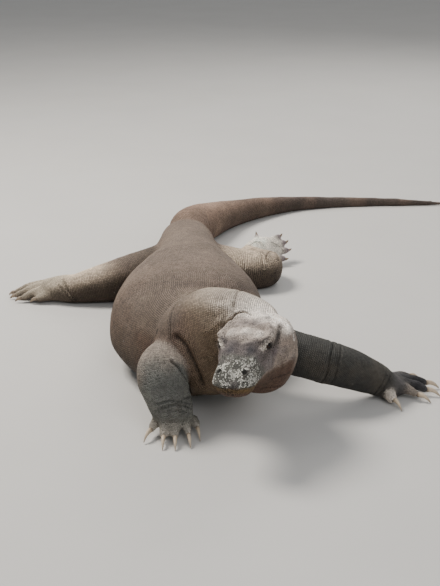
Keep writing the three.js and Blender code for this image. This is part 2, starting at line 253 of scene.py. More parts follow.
def eye_centre(side):
    """The middle of the right eye, with side 1, or of the left eye, with side -1."""
    return from_head(EYE_PLACE * [side, 1, 1])


def layout_shift():
    """What takes the layout's millimetres to the frame's: found from the left eye's CAD box."""
    low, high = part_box("eye_left")
    return np.array((low + high) / 2.0) * 1000.0 - eye_centre(-1)


SHIFT = layout_shift()


def to_frame(points):
    """The layout's millimetres to the frame's metres."""
    return (np.asarray(points, float) + SHIFT) * 0.001


# ---- Lofts ----

FINE_STEPS = 40  # steps to a station, where a loft's length is measured
RING_STEPS = 144  # steps round a section, where its girth is measured
LEAST_ROWS, LEAST_RING = 3, 6  # the fewest steps along a loft and scales round it
BODY_RINGS, TOE_RINGS = (6.0, 48), (3.0, 20)  # spacing of a loft's rings, and sides of each


def spline(points, t):
    """Place and slope on a uniform Catmull-Rom curve through points, at station numbers t."""
    points = np.asarray(points, float)
    before, after = 2 * points[0] - points[1], 2 * points[-1] - points[-2]
    p = np.concatenate([[before], points, [after]])
    i = np.clip(np.floor(t).astype(int), 0, len(points) - 2)
    w = (t - i)[:, None]
    a, b, c, d = p[i], p[i + 1], p[i + 2], p[i + 3]
    m, n = (c - a) / 2, (d - b) / 2
    square, cube = 3 * (c - b) - 2 * m - n, 2 * (b - c) + m + n
    return b + w * (m + w * (square + w * cube)), m + w * (2 * square + 3 * w * cube)


def tube_faces(rings, sides, start=0):
    """Faces of a closed tube of rings, whose vertices begin at start."""
    faces = []
    last = start + (rings - 1) * sides
    for low in range(start, last, sides):
        for i in range(sides):
            j = (i + 1) % sides
            faces.append((low + j, low + i, low + sides + i, low + sides + j))
    faces.append(tuple(range(start, start + sides)))
    faces.append(tuple(reversed(range(last, last + sides))))
    return faces


class Loft:
    """Oval sections along a smooth route, thinner by inset all round."""

    def __init__(self, stations, up, inset):
        self.stations = np.array(stations, float)
        self.up = unit(up)
        self.inset = inset
        self.last = len(stations) - 1

    def section(self, t):
        """Centre, way ahead, side, up and half sizes at station numbers t."""
        centre, slope = spline(self.stations[:, :3], t)
        along = unit(slope)
        side = unit(np.cross(along, self.up))
        half = spline(self.stations[:, 3:], t)[0]
        return centre, along, side, np.cross(side, along), half

    def surface(self, t, angle):
        """Places on the loft at station numbers t and angles from its side."""
        centre, _, side, up, half = self.section(t)
        half = half - self.inset
        c, s = np.cos(angle), np.sin(angle)
        bend = 2.0 / ROUNDNESS
        height = np.where(s > 0, half[:, 1], half[:, 2])
        x = np.sign(c) * np.abs(c) ** bend * half[:, 0]
        z = np.sign(s) * np.abs(s) ** bend * height
        return centre + side * x[:, None] + up * z[:, None]

    def moves(self):
        """Closely spaced station numbers, and how far the loft's side runs from each to the next."""
        fine = np.linspace(0, self.last, self.last * FINE_STEPS + 1)
        centre, _, _, _, half = self.section(fine)
        ahead = np.linalg.norm(np.diff(centre, axis=0), axis=1)
        return fine, np.hypot(ahead, 0.7 * np.diff(half[:, 0]))

    def steps(self, spacing):
        """Station numbers that are evenly spaced along the route."""
        fine, moves = self.moves()
        run = running(moves)
        count = max(LEAST_ROWS, int(round(run[-1] / spacing)))
        return np.interp(np.linspace(0, run[-1], count + 1), run, fine)

    def ring(self, t, spacing, offset):
        """Evenly spaced angles round the section at t, the first moved on by offset spacings."""
        angle = np.linspace(0, 2 * math.pi, RING_STEPS + 1)
        points = self.surface(np.full(RING_STEPS + 1, float(t)), angle)
        run = running(np.linalg.norm(np.diff(points, axis=0), axis=1))
        count = max(LEAST_RING, int(round(run[-1] / spacing)))
        places = (np.arange(count) + offset) % count / count * run[-1]
        return np.interp(places, run, angle)

    def mesh(self, spacing, sides):
        """Vertices and faces of the closed loft."""
        t = self.steps(spacing)
        angles = (np.arange(sides) + 0.5) / sides * 2 * math.pi
        points = self.surface(np.repeat(t, sides), np.tile(angles, len(t)))
        return points, tube_faces(len(t), sides)


def toe_direction(toe):
    """The way that a toe points."""
    turn, rise = math.radians(toe[3]), math.radians(toe[4])
    level = math.cos(rise)
    return np.array([math.cos(turn) * level, math.sin(turn) * level, math.sin(rise)])


def toe_stations(toe, back):
    """A toe's stations, from inside the palm over its arched knuckle to the root of its claw."""
    place, length, radius = np.array(toe[:3], float), toe[5], toe[6]
    direction = toe_direction(toe)
    stations = []
    for share, arch, size in TOE_SHAPE:
        centre = place + direction * length * share + np.asarray(back) * radius * arch
        thick = radius * size
        stations.append((*centre, thick * TOE_WIDTH, thick, thick * TOE_PAD))
    return stations


def head_stations():
    """The head's stations in the layout."""
    centres = from_head([s[:3] for s in HEAD])
    return [(*c, *s[3:]) for c, s in zip(centres, HEAD)]


def lofts(inset):
    """Every loft of flesh by name."""
    made = {
        "trunk": Loft(TRUNK, UP, inset),
        "neck": Loft(NECK, UP, inset),
        "tail": Loft(TAIL, UP, inset),
        "head": Loft(head_stations(), HEAD_AXES[:, 2], inset),
    }
    for name, limb in LIMBS.items():
        back = unit(limb["back"])
        made[name] = Loft(limb["line"], limb["up"], inset)
        if limb["sole"]:
            made[name + ".sole"] = Loft(limb["sole"], back, inset)
        for i, toe in enumerate(limb["toes"]):
            made[f"{name}.toe{i + 1}"] = Loft(toe_stations(toe, back), back, inset)
    return made


# A part is the number of a loft, and its family the limb or length of body that it belongs to.
PART_NAMES = list(lofts(0.0))
FAMILIES = np.array([name.split(".")[0] for name in PART_NAMES])
HEAD_PART = PART_NAMES.index("head")


# ---- Mesh building ----

SHRINK, SWELL = 0.5, 0.53  # how far a round of smoothing goes, and the way back that keeps volume
NOISE_FACTORS = np.array([374761393, 668265263, 2147483647])
NOISE_SEED, NOISE_MIX = 974634777, 1274126177


def in_scene(name, data):
    """An object of the scene that shows a mesh, a lamp or a camera."""
    made = bpy.data.objects.new(name, data)
    bpy.context.scene.collection.objects.link(made)
    return made


def new_object(name, points, faces):
    """A mesh object from points already in the frame's metres."""
    mesh = bpy.data.meshes.new(name)
    mesh.from_pydata(np.asarray(points).tolist(), [], faces)
    mesh.update()
    mesh.shade_smooth()
    return in_scene(name, mesh)


def read(items, key, width, kind=np.float32):
    """A property of every item of a mesh, as rows of numbers."""
    values = np.empty(len(items) * width, kind)
    items.foreach_get(key, values)
    return values.reshape(-1, width)


def store(mesh, name, channels):
    """Keeps up to three channels for each vertex as a colour attribute."""
    values = np.ones((len(mesh.vertices), 4), np.float32)
    values[:, : channels.shape[1]] = channels
    layer = mesh.attributes.new(name, "FLOAT_COLOR", "POINT")
    layer.data.foreach_set("color", values.ravel())


def layout_of(mesh):
    """A mesh's vertices in the layout's millimetres."""
    return read(mesh.vertices, "co", 3).astype(float) * 1000.0 - SHIFT


def move_to(mesh, points):
    """Moves a mesh's vertices to places of the layout."""
    mesh.vertices.foreach_set("co", to_frame(points).astype(np.float32).ravel())
    mesh.update()


def vertex_normals(mesh):
    """The way out of the skin at each vertex."""
    mesh.update()
    return read(mesh.vertex_normals, "vector", 3).astype(float)


def edge_pairs(mesh):
    """The two vertices of each edge."""
    return read(mesh.edges, "vertices", 2, np.int32)


def neighbour_mean(points, pairs, counts):
    """The mean of each point's neighbours along the edges."""
    total = np.zeros_like(points)
    for axis in range(points.shape[1]):
        total[:, axis] = np.bincount(pairs[:, 0], points[pairs[:, 1], axis], len(points))
        total[:, axis] += np.bincount(pairs[:, 1], points[pairs[:, 0], axis], len(points))
    return total / counts[:, None]


def relax(points, pairs, weight, rounds, keep_volume):
    """Smooths points towards their neighbours, by a weight for each."""
    counts = np.maximum(np.bincount(pairs.ravel(), minlength=len(points)), 1)
    weight = np.broadcast_to(weight, (len(points),))[:, None]
    for _ in range(rounds):
        points = points + SHRINK * weight * (neighbour_mean(points, pairs, counts) - points)
        if keep_volume:
            points = points - SWELL * weight * (neighbour_mean(points, pairs, counts) - points)
    return points


def value_noise(points, size, seed):
    """Smooth noise from -1 to 1 with bumps of the given size."""
    p = np.asarray(points, float) / size + 1000.0
    cell = np.floor(p).astype(np.int64)
    f = p - cell
    f = f * f * (3 - 2 * f)
    total = np.zeros(len(p))
    for corner in range(8):
        step = np.array([corner & 1, corner >> 1 & 1, corner >> 2 & 1])
        mixed = (cell + step) @ NOISE_FACTORS + seed * NOISE_SEED
        mixed = (mixed ^ (mixed >> 13)) * NOISE_MIX
        mixed = (mixed ^ (mixed >> 16)) & 0xFFFF
        share = np.prod(np.where(step, f, 1 - f), axis=1)
        total += share * (mixed / 32767.5 - 1.0)
    return total


# ---- Camera ----

CAMERA_PLACE = np.array([-75.0, -2485.0, 980.0])
CAMERA_PITCH = 21.2
LENS, SENSOR = 65.0, 36.0
FRAME_WIDTH, FRAME_HEIGHT = 440, 586


def sight_line(u, v):
    """The direction of the camera's line through a place in its frame."""
    reach = FRAME_HEIGHT * LENS / SENSOR
    pitch = math.radians(CAMERA_PITCH)
    ahead = np.array([0.0, math.cos(pitch), -math.sin(pitch)])
    above = np.array([0.0, math.sin(pitch), math.cos(pitch)])
    across = (u - FRAME_WIDTH / 2) / reach
    return unit(ahead + np.array([across, 0, 0]) - above * (v - FRAME_HEIGHT / 2) / reach)


# ---- Skin ----

LINE_SPACING = 1.5  # between the places of a ridge or groove, in millimetres
LINE_REACH, FAR = 20, 1e3  # how far off a line is still measured, and what stands for farther
HEAD_BACK, HEAD_SIDE = -34, 96  # the skin before and within these is divided as the head's
FINE_REACH = {"eye": 21, "nostril": 13, "ear": 15, "lips": 6}  # where it is divided once more
THIN_FOLD, THIN_REACH = 4, 7  # folds narrower than the first have finer skin this far round them
BANK_RISE, BANK_OUT = 0.4, 2.2  # banks beside a fold: rise in its depths, distance in its widths

# Where flesh runs together: centre, reach and how many rounds of smoothing blend it.
JUNCTIONS = [
    ((-150, -585, 110), 120, 12), ((0, -548, 115), 100, 30), ((-225, 60, 72), 100, 34),
    ((-90, 95, 60), 100, 34), ((-165, 320, 60), 130, 40), ((-130, -560, 160), 150, 14),
    ((12, -622, 180), 90, 10), ((10, 205, 50), 60, 14), ((-160, -700, 20), 60, 4),
    ((290, -535, 20), 70, 5), ((-490, 0, 20), 70, 5), ((50, 245, 50), 60, 5),
]

# Folds and creases that the camera sees: places in its frame, width and depth in millimetres.
FOLDS = [
    ([(177, 337), (185, 345), (192, 358), (198, 372), (203, 385)], 5.0, 6.0),
    ([(172, 362), (179, 368), (186, 380), (191, 393)], 3.5, 4.0),
    ([(158, 404), (169, 400.5), (180, 401.5), (188, 404)], 1.8, 1.6),
    ([(158, 408), (170, 405), (183, 406), (191, 408.5)], 1.8, 1.8),
    ([(160, 412), (172, 410.5), (186, 412)], 1.8, 1.4),
    ([(225, 331), (230, 322), (236, 316), (244, 313.8), (251, 317)], 2.6, 3.2),
    ([(286, 318), (290.5, 328), (293, 338)], 2.4, 2.6),
    ([(59, 286), (65, 293), (74, 301)], 1.8, 2.2),
    ([(63, 279.5), (70, 294), (77, 300)], 2.0, 2.4),
    ([(250, 246), (254, 243), (260, 243), (264, 247)], 1.8, 2.4),
    ([(266, 260), (268, 254), (272, 252), (276, 255), (278, 262)], 1.8, 2.6),
    ([(271, 243), (278, 246), (283, 251)], 1.6, 2.0),
    ([(261, 252), (265, 256), (268, 261)], 1.6, 2.0),
    ([(262, 388), (276, 386), (289, 384)], 2.2, 2.0),
    ([(270, 379), (281, 376), (292, 372)], 2.0, 1.6),
]

# Creases round a loft: its name, station, first and last angle in degrees, width and depth.
RING_FOLDS = [
    ("arm_left", 2.9, -60, 150, 2.6, 2.0), ("arm_left", 3.15, -40, 120, 2.2, 1.5),
    ("arm_left", 4.9, -60, 200, 2.0, 1.6), ("arm_left", 5.15, -60, 200, 2.0, 1.6),
    ("leg_right", 2.5, 200, 340, 2.4, 2.0), ("leg_right", 2.8, 200, 340, 2.4, 1.6),
    ("leg_left", 2.6, 20, 160, 2.4, 2.0), ("leg_left", 5.0, -40, 220, 2.0, 1.6),
    ("leg_left", 5.3, -40, 220, 2.0, 1.6), ("tail", 1.1, -60, 240, 3.0, 0.8),
    ("tail", 1.5, -60, 240, 3.0, 0.8), ("neck", 1.6, 20, 150, 4.0, 2.2),
    ("neck", 4.4, 30, 150, 3.0, 1.6), ("arm_right", 4.6, 30, 160, 2.2, 1.6),
]


def ball(centre, axes, half, sides=24):
    """Vertices and faces of an ellipsoid on the given axes."""
    points, faces = [], []
    rings = sides // 2
    for r in range(1, rings):
        polar = math.pi * r / rings
        for i in range(sides):
            turn = 2 * math.pi * i / sides
            points.append((
                math.sin(polar) * math.cos(turn), math.sin(polar) * math.sin(turn), math.cos(polar),
            ))
    top, bottom = len(points), len(points) + 1
    points += [(0, 0, 1), (0, 0, -1)]
    for i in range(sides):
        j = (i + 1) % sides
        for r in range(rings - 2):
            a, b = r * sides, (r + 1) * sides
            faces.append((a + i, b + i, b + j, a + j))
        faces.append((top, i, j))
        last = (rings - 2) * sides
        faces.append((bottom, last + j, last + i))
    return np.array(points) * half @ np.asarray(axes).T + centre, faces


def flesh_mesh(inset):
    """Every loft and brow in one mesh of overlapping closed bodies."""
    bodies = []
    for name, loft in lofts(inset).items():
        bodies.append(loft.mesh(*(TOE_RINGS if ".toe" in name else BODY_RINGS)))
    for side in (1, -1):
        bodies.append(ball(from_head(BROW_PLACE * [side, 1, 1]), HEAD_AXES, BROW_HALF - inset))
    points = np.concatenate([p for p, _ in bodies])
    faces, start = [], 0
    for p, body_faces in bodies:
        faces += [tuple(start + i for i in face) for face in body_faces]
        start += len(p)
    return points, faces


def fused(points, faces, voxel):
    """One closed skin over overlapping bodies."""
    source = new_object("flesh", to_frame(points), faces)
    remesh = source.modifiers.new("fuse", "REMESH")
    remesh.mode = "VOXEL"
    remesh.voxel_size = voxel * 0.001
    depsgraph = bpy.context.evaluated_depsgraph_get()
    mesh = bpy.data.meshes.new_from_object(source.evaluated_get(depsgraph))
    old = source.data
    bpy.data.objects.remove(source)
    bpy.data.meshes.remove(old)
    return mesh


def divide(mesh, chosen):
    """Splits each chosen face into four; chosen takes face centres in the layout."""
    work = bmesh.new()
    work.from_mesh(mesh)
    centres = np.array([f.calc_center_median() for f in work.faces]) * 1000.0 - SHIFT
    picked = chosen(centres)
    edges = {e for face, pick in zip(work.faces, picked) if pick for e in face.edges}
    bmesh.ops.subdivide_edges(work, edges=list(edges), cuts=1, use_grid_fill=True)
    bmesh.ops.triangulate(work, faces=[f for f in work.faces if len(f.verts) > 4])
    work.to_mesh(mesh)
    work.free()


def polyline(corners):
    """Closely spaced places along straight pieces between corners."""
    corners = np.asarray(corners, float)
    made = [corners[:1]]
    for start, end in zip(corners, corners[1:]):
        count = max(2, int(np.linalg.norm(end - start) / LINE_SPACING))
        made.append(start + (end - start) * (np.arange(1, count + 1) / count)[:, None])
    return np.concatenate(made)


def line_distance(points, line):
    """Distance from each point to a line of closely spaced places, and FAR beyond its reach."""
    tree = tree_of(line)
    low, high = line.min(0) - LINE_REACH, line.max(0) + LINE_REACH
    distance = np.full(len(points), FAR)
    for i in np.nonzero(np.all((points > low) & (points < high), axis=1))[0]:
        distance[i] = tree.find(points[i])[2]
    return distance


def fold_lines(tree):
    """Every fold as closely spaced places on the skin, with its width and depth."""
    made = []
    for places, width, depth in FOLDS:
        t = np.linspace(0, len(places) - 1, 16 * len(places))
        seen = spline(places, t)[0]
        hits = [tree.ray_cast(Vector(CAMERA_PLACE), Vector(sight_line(u, v)))[0] for u, v in seen]
        made.append((np.array([h for h in hits if h is not None]), width, depth))
    flesh = lofts(sizes().inset)
    for name, station, first, last, width, depth in RING_FOLDS:
        angles = np.radians(np.linspace(first, last, 90))
        wander = station + 0.04 * np.sin(3 * angles + station)
        ring = flesh[name].surface(wander, angles)
        made.append((np.array([tree.find_nearest(Vector(p))[0] for p in ring]), width, depth))
    return made


def sizes():
    """The sizes that a user may change."""
    return bpy.context.scene.komodo_sizes


def colours():
    """The colours that a user may change."""
    return bpy.context.scene.komodo_colours


# ---- Head ----

# In head coordinates, millimetres, with the side taken as positive.
GAZE = unit((0.86, 0.44, 0.26))
LIDS = (8.6, 4.4, 4.8)  # half length of the lids' opening, and its height above and below
LID_DEPTH = 2.5  # how far under the eye's surface the skin goes within the opening
LID_REACH, LID_TURN = 19, 1.5  # how far from an eye, and round from its gaze, lids are shaped
NOSTRIL = np.array([20.8, 172.5, 6.8])
NOSTRIL_HALF = np.array([4.2, 6.0, 12.0])  # across, along and into the head
LIP_CORNER = 46.0  # how far forward the mouth's corner lies
EAR, EAR_HALF = np.array([67.0, 2.0, -2.0]), (4.6, 8.5)  # its half length and half height
EAR_OUT = 40  # an ear's skin lies farther out than this

# Ridges and grooves of each side of the head, in its own coordinates: places, width and rise.
HEAD_LINES = [
    ([(33, 50, 40), (39, 62, 38), (44, 74, 35), (44, 87, 34), (43, 98, 31), (39, 107, 25)], 4.8, 7.6),
    ([(37, 108, 24), (34, 122, 21), (31, 140, 17), (27, 156, 12)], 4.2, 3.4),
    ([(54, 32, 33), (53, 52, 27), (52, 72, 20), (53, 86, 11)], 7.0, -9.0),
    ([(45, 110, 12), (42, 128, 6), (40, 148, 1)], 7.0, -3.4),
    ([(40, 160, -4), (44, 130, -7), (51, 104, -9), (59, 80, -11), (67, 56, -12)], 2.0, -2.8),
    ([(46, 120, 2), (52, 104, 0), (57, 88, -3), (62, 72, -3)], 2.0, -2.4),
    ([(57, 84, 4), (62, 70, 3), (68, 54, -3), (72, 44, -8)], 2.0, -2.4),
    ([(58, 92, -4), (64, 76, -6), (70, 60, -9)], 2.2, 2.0),
    ([(60, 66, 12), (66, 54, 8), (71, 42, 4)], 2.2, -2.2),
    ([(70, 46, -22), (76, 34, -28), (78, 20, -42), (76, 8, -60)], 3.2, -4.0),
    ([(63, 70, -32), (70, 52, -40), (75, 34, -54), (74, 18, -72)], 2.8, -3.2),
    ([(52, 98, -32), (58, 80, -42), (66, 58, -54), (68, 38, -70)], 2.8, -3.0),
    ([(44, 128, -28), (48, 106, -38), (52, 84, -54), (56, 60, -70)], 2.6, -2.4),
    ([(8, 66, 46), (18, 60, 46), (27, 64, 42)], 3.2, -2.6),
    ([(30, 30, 45), (40, 38, 42), (46, 50, 36)], 3.8, -3.2),
]

# Swellings and hollows of each side of the head: rise, middle and reach.
HEAD_BUMPS = [
    (-3.2, (0, 118, 32), (14, 22, 14)), (-5.0, (8, 44, 48), (12, 14, 12)),
    (3.2, (26, 80, 40), (8, 12, 9)), (2.6, (0, 78, 44), (9, 9, 9)),
    (2.4, (24, 34, 47), (9, 14, 9)), (2.0, (0, 8, 48), (16, 12, 12)),
    (3.4, (74, 22, -30), (18, 26, 30)), (-3.0, (30, -12, 42), (24, 7, 22)),
    (2.0, (48, 92, -6), (9, 22, 8)), (-1.6, (0, 186, 4), (5, 16, 10)),
    (1.8, (23, 178, 8), (12, 12, 10)),
]


def lip_height(y):
    """How high the mouth's line stands at a place along the head."""
    return np.interp(y, [LIP_CORNER, 77, 103, 135, 172, 192], [-23.0, -21, -19, -18, -16.5, -11])


def lid_place(local):
    """Round the eye: distance outside the lids' opening, 1 at its edge, way out, and where lids are."""
    away = local - EYE_PLACE
    distance = np.linalg.norm(away, axis=1)
    way = away / np.maximum(distance, 1e-6)[:, None]
    forward = unit(np.array([0.0, 1.0, -0.12]) - GAZE * (GAZE[1] - 0.12 * GAZE[2]))
    above = np.cross(GAZE, forward)
    above = above * np.sign(above[2])
    turn = np.arccos(np.clip(way @ GAZE, -1, 1))
    spread = turn / np.maximum(np.sin(turn), 1e-3) * EYE_RADIUS
    x, y = (way @ forward) * spread, (way @ above) * spread
    edge = np.abs(x / LIDS[0]) ** 1.7 + np.abs(y / np.where(y > 0, LIDS[1], LIDS[2])) ** 1.7
    return edge, way, (distance < LID_REACH) & (turn < LID_TURN)


def nostril_place(local):
    """Distance from the nostril's middle, 1 at its rim."""
    out = unit(np.array([0.62, 0.35, 0.7]))
    along = unit(np.array([-0.25, 0.95, -0.2]))
    along = unit(along - out * (along @ out))
    away = (local - NOSTRIL) @ np.stack([np.cross(out, along), along, out], axis=1)
    return np.linalg.norm(away / NOSTRIL_HALF, axis=1)


def ear_place(local):
    """Distance from the ear's middle, 1 at its rim, and more inside the head."""
    along, above = local[:, 1] - EAR[1], local[:, 2] - EAR[2]
    return np.hypot(along / EAR_HALF[0], above / EAR_HALF[1]) + (local[:, 0] < EAR_OUT) * 9


def head_lift(points, local):
    """How far each place of the head's skin rises or sinks, and how far it belongs to the head."""
    x, y, z = local.T
    lift = 2.4 * smooth(104, 95, y + 0.12 * x) * smooth(14, 26, z) * smooth(-10, 20, y)
    for line, width, rise in HEAD_LINES:
        lift += rise * hill(line_distance(local, polyline(line)), width)
    for rise, middle, reach in HEAD_BUMPS:
        lift += rise * near(local, middle, reach)
    crown = smooth(-20, 10, y) * smooth(2, 18, z)
    lift += crown * (2.6 * value_noise(points, 16, 31) + 1.2 * value_noise(points, 7.5, 32))
    cheek = smooth(20, 40, y) * smooth(40, 54, x)
    lift += cheek * (1.7 * value_noise(points, 12, 33) + 0.8 * value_noise(points, 6, 34))
    low = z - lip_height(y)
    lips = smooth(LIP_CORNER - 6, LIP_CORNER + 6, y)
    lift += lips * (1.3 * hill(low - 5, 3.6) - 1.5 * hill(low + 5.5, 5.5) - 2.6 * hill(low, 1.3))
    hollow = ear_place(local)
    lift += 1.3 * hill(hollow - 1.35, 0.35) - 4.5 * (1 - smooth(0.5, 1.15, hollow))
    hole = nostril_place(local)
    lift += 1.2 * hill(hole - 1.4, 0.35) - 6.5 * (1 - smooth(0.55, 1.15, hole))
    lift += 0.5 * value_noise(points, 9, 3) * smooth(90, 120, y) * (hole > 1.6)
    inside = smooth(-46, -28, y) * smooth(240, 225, y)
    inside = inside * smooth(114, 92, np.abs(z)) * smooth(106, 86, x)
    return lift * inside, inside


def sculpt_head(points, normals):
    """Moves the skin of the head: ridges, lips, nostrils, ears and lids."""
    local = to_head(points)
    side = np.where(local[:, 0] < 0, -1.0, 1.0)
    local[:, 0] *= side
    facing = normals @ HEAD_AXES
    facing[:, 0] *= side
    lift, inside = head_lift(points, local)
    local = local + facing * lift[:, None]
    edge, way, lidded = lid_place(local)
    rim = np.where(edge < 1, 0, 1.3 + 1.1 * hill(edge - 1.25, 0.3))
    radius = EYE_RADIUS - LID_DEPTH + (rim + LID_DEPTH) * smooth(0.9, 1.08, edge)
    weight = (1 - smooth(2.0, 4.2, edge)) * lidded * inside
    local = local + (EYE_PLACE + way * radius[:, None] - local) * weight[:, None]
    local[:, 0] *= side
    return from_head(local)


def bare_head(points):
    """Where the head has no scales: inside the lids, the nostrils and the ears."""
    local = to_head(points)
    local[:, 0] = np.abs(local[:, 0])
    edge, _, lidded = lid_place(local)
    return (edge < 1.2) & lidded | (ear_place(local) < 1.0) | (nostril_place(local) < 1.2)


# ---- Building the skin ----


def run_together(mesh):
    """Smooths the skin, most where the flesh of different parts meets."""
    points, pairs = layout_of(mesh), edge_pairs(mesh)
    points = relax(points, pairs, 1.0, 8, True)
    for centre, reach, rounds in JUNCTIONS:
        away = np.linalg.norm(points - np.array(centre), axis=1)
        points = relax(points, pairs, 1 - smooth(0.45 * reach, reach, away), rounds, False)
    move_to(mesh, points)


def face_details(centres):
    """Which places lie by an eye, a nostril, an ear or the mouth."""
    local = to_head(centres)
    local[:, 0] = np.abs(local[:, 0])
    eye = np.linalg.norm(local - EYE_PLACE, axis=1) < FINE_REACH["eye"]
    nostril = np.linalg.norm(local - NOSTRIL, axis=1) < FINE_REACH["nostril"]
    ear = (np.linalg.norm(local - EAR, axis=1) < FINE_REACH["ear"]) & (local[:, 0] > EAR_OUT)
    lips = np.abs(local[:, 2] - lip_height(local[:, 1])) < FINE_REACH["lips"]
    lips &= (local[:, 1] > LIP_CORNER - 8) & (local[:, 1] < 220)
    return eye | nostril | ear | lips


def refine_head(mesh):
    """Divides the skin of the head, smooths it, and divides it again by the details of the face."""
    divide(mesh, lambda c: (to_head(c)[:, 1] > HEAD_BACK) & (np.abs(to_head(c)[:, 0]) < HEAD_SIDE))
    points = layout_of(mesh)
    across, ahead, _ = to_head(points).T
    weight = smooth(-50, -20, ahead) * smooth(110, 86, np.abs(across))
    move_to(mesh, relax(points, edge_pairs(mesh), weight, 3, True))
    divide(mesh, face_details)


def fold(mesh):
    """Waves and folds the skin, keeps how deep in a fold each place lies for the painted shade in the
    creases, and returns the places.
    """
    faces = [tuple(f.vertices) for f in mesh.polygons]
    folds = fold_lines(BVHTree.FromPolygons(layout_of(mesh).tolist(), faces))
    thin = np.concatenate([line for line, width, _ in folds if width < THIN_FOLD and len(line)])
    divide(mesh, lambda c: line_distance(c, thin) < THIN_REACH)
    points, normals = layout_of(mesh), vertex_normals(mesh)
    body = 1 - smooth(-40, 0, to_head(points)[:, 1])
    lift = body * (1.2 * value_noise(points, 55, 1) + 0.35 * value_noise(points, 15, 2))
    crease = np.zeros(len(points))
    for line, width, depth in folds:
        if len(line):
            away = line_distance(points, line)
            lift -= depth * hill(away, width)
            lift += BANK_RISE * depth * hill(away - BANK_OUT * width, width)
            # How deep in a fold each place lies, kept for the painted shade in the creases.
            crease = np.maximum(crease, min(1.0, depth / 3) * hill(away, 0.7 * width + 1))
    layer = mesh.attributes.new("crease", "FLOAT", "POINT")
    layer.data.foreach_set("value", crease.astype(np.float32))
    points = points + normals * lift[:, None]
    move_to(mesh, points)
    return points


def build_skin():
    """The skin's mesh, sculpted, in the frame's metres."""
    mesh = fused(*flesh_mesh(sizes().inset), sizes().voxel)
    run_together(mesh)
    refine_head(mesh)
    points = fold(mesh)
    points = sculpt_head(points, vertex_normals(mesh))
    points[:, 2] = np.maximum(points[:, 2], sizes().floor_clearance)
    move_to(mesh, points)
    return mesh


# ---- Scales ----

# Spacing of the scales at a loft's first and last station, and how high they stand for that spacing.
SPACING = {
    "trunk": (4.1, 4.0, 0.24), "neck": (3.5, 3.4, 0.26), "tail": (4.4, 3.0, 0.24),
    "head": (3.5, 2.5, 0.22), "arm_right": (4.2, 3.2, 0.26), "arm_left": (4.3, 3.2, 0.26),
    "leg_right": (4.6, 3.4, 0.26), "leg_left": (4.6, 3.4, 0.26),
}
SOLE_SPACING = (3.8, 3.4, 0.18)
TOE_SPACING = (3.2, 2.6, 0.24)
ROW_SHARE = 0.87  # rows stand closer together than the scales in a row
JITTER = {"head": 0.14}  # how far a scale may stray from its row, in spacings
LEAST_JITTER = 0.06
CLOSEST = 0.68  # least distance between two scales, in spacings
FARTHEST = 0.74  # a bare place this far from any scale gets one, in spacings
EVEN_ROUNDS, EVEN_NEIGHBOURS = 4, 6  # how often scales make room, and for how many others
EVEN_SPACE, EVEN_STEP = 1.09, 0.4  # the space a scale wants, in spacings, and how far it moves
RESTING_HEIGHT, RESTING_SLOPE = 1.6, -0.2  # skin this low that faces down has no scales
SKIN_REACH, TOE_REACH = 7.0, 4.0  # how far off the skin a loft's place may lie, in millimetres
SAMPLE_AREA = 6.0  # skin for each place that is tried for bareness, in square millimetres
SCALE_FLOOR, CLAW_FLOOR = 0.2, 0.3  # least height of scales and claws over the floor
FORWARD = ("trunk", "neck", "head")  # lofts that run forwards, against the lie of their scales


def spacing_of(name):
    """A loft's row of SPACING, or that of every toe or sole."""
    if ".toe" in name:
        return TOE_SPACING
    return SOLE_SPACING if ".sole" in name else SPACING[name]


class Coat:
    """The places of the scales: point, normal, lie, part, station, turn and spacing of each."""

    FIELDS = ("point", "normal", "lie", "part", "station", "turn", "gap")

    def __init__(self, **fields):
        for field in self.FIELDS:
            setattr(self, field, np.asarray(fields[field]))

    def pick(self, chosen):
        """The chosen places alone."""
        return Coat(**{field: getattr(self, field)[chosen] for field in self.FIELDS})

    def joined(self, other):
        """These places followed by another coat's."""
        both = {f: np.concatenate([getattr(self, f), getattr(other, f)]) for f in self.FIELDS}
        return Coat(**both)

    def __len__(self):
        return len(self.point)


def coat_rows(part, name, loft, finer):
    """Scales in rings round a loft, each row half a spacing on from the last."""
    ends = [0, loft.last]
    spacings = [value * finer for value in spacing_of(name)[:2]]
    fine, moves = loft.moves()
    run = running(moves / (ROW_SHARE * np.interp(fine, ends, spacings)[1:]))
    rows = np.interp(np.arange(int(run[-1])) + 0.5, run, fine)
    gaps = np.interp(rows, ends, spacings)
    rings = [loft.ring(t, gap, 0.5 * (i % 2)) for i, (t, gap) in enumerate(zip(rows, gaps))]
    counts = [len(ring) for ring in rings]
    station, gap, turn = np.repeat(rows, counts), np.repeat(gaps, counts), np.concatenate(rings)
    along = loft.section(station)[1]
    stray = np.random.default_rng(40 + part).normal(size=(len(turn), 3))
    stray *= (JITTER.get(name, LEAST_JITTER) * gap)[:, None]
    return Coat(
        point=loft.surface(station, turn) + stray,
        normal=along,  # until the place is settled on the skin
        lie=-along if name in FORWARD else along,
        part=np.full(len(turn), part),
        station=station,
        turn=turn,
        gap=gap,
    )


def settle(coat, tree, face_normals, reach):
    """Moves each place onto the skin, drops those beyond reach and lays the rest along the skin."""
    hits = [tree.find_nearest(place) for place in coat.point]
    keep = [i for i, hit in enumerate(hits) if hit[3] < reach]
    coat = coat.pick(keep)
    coat.point = np.array([hits[i][0] for i in keep])
    coat.normal = unit(face_normals[[hits[i][2] for i in keep]])
    coat.lie = laid(coat.lie, coat.normal)
    return coat


def spread_out(coat):
    """Keeps only scales that stand clear of every earlier one."""
    tree = tree_of(coat.point)
    alive = np.ones(len(coat), bool)
    for i, place in enumerate(coat.point):
        if alive[i]:
            for _, j, _ in tree.find_range(place, CLOSEST * coat.gap[i]):
                if j > i:
                    alive[j] = False
    return coat.pick(alive)


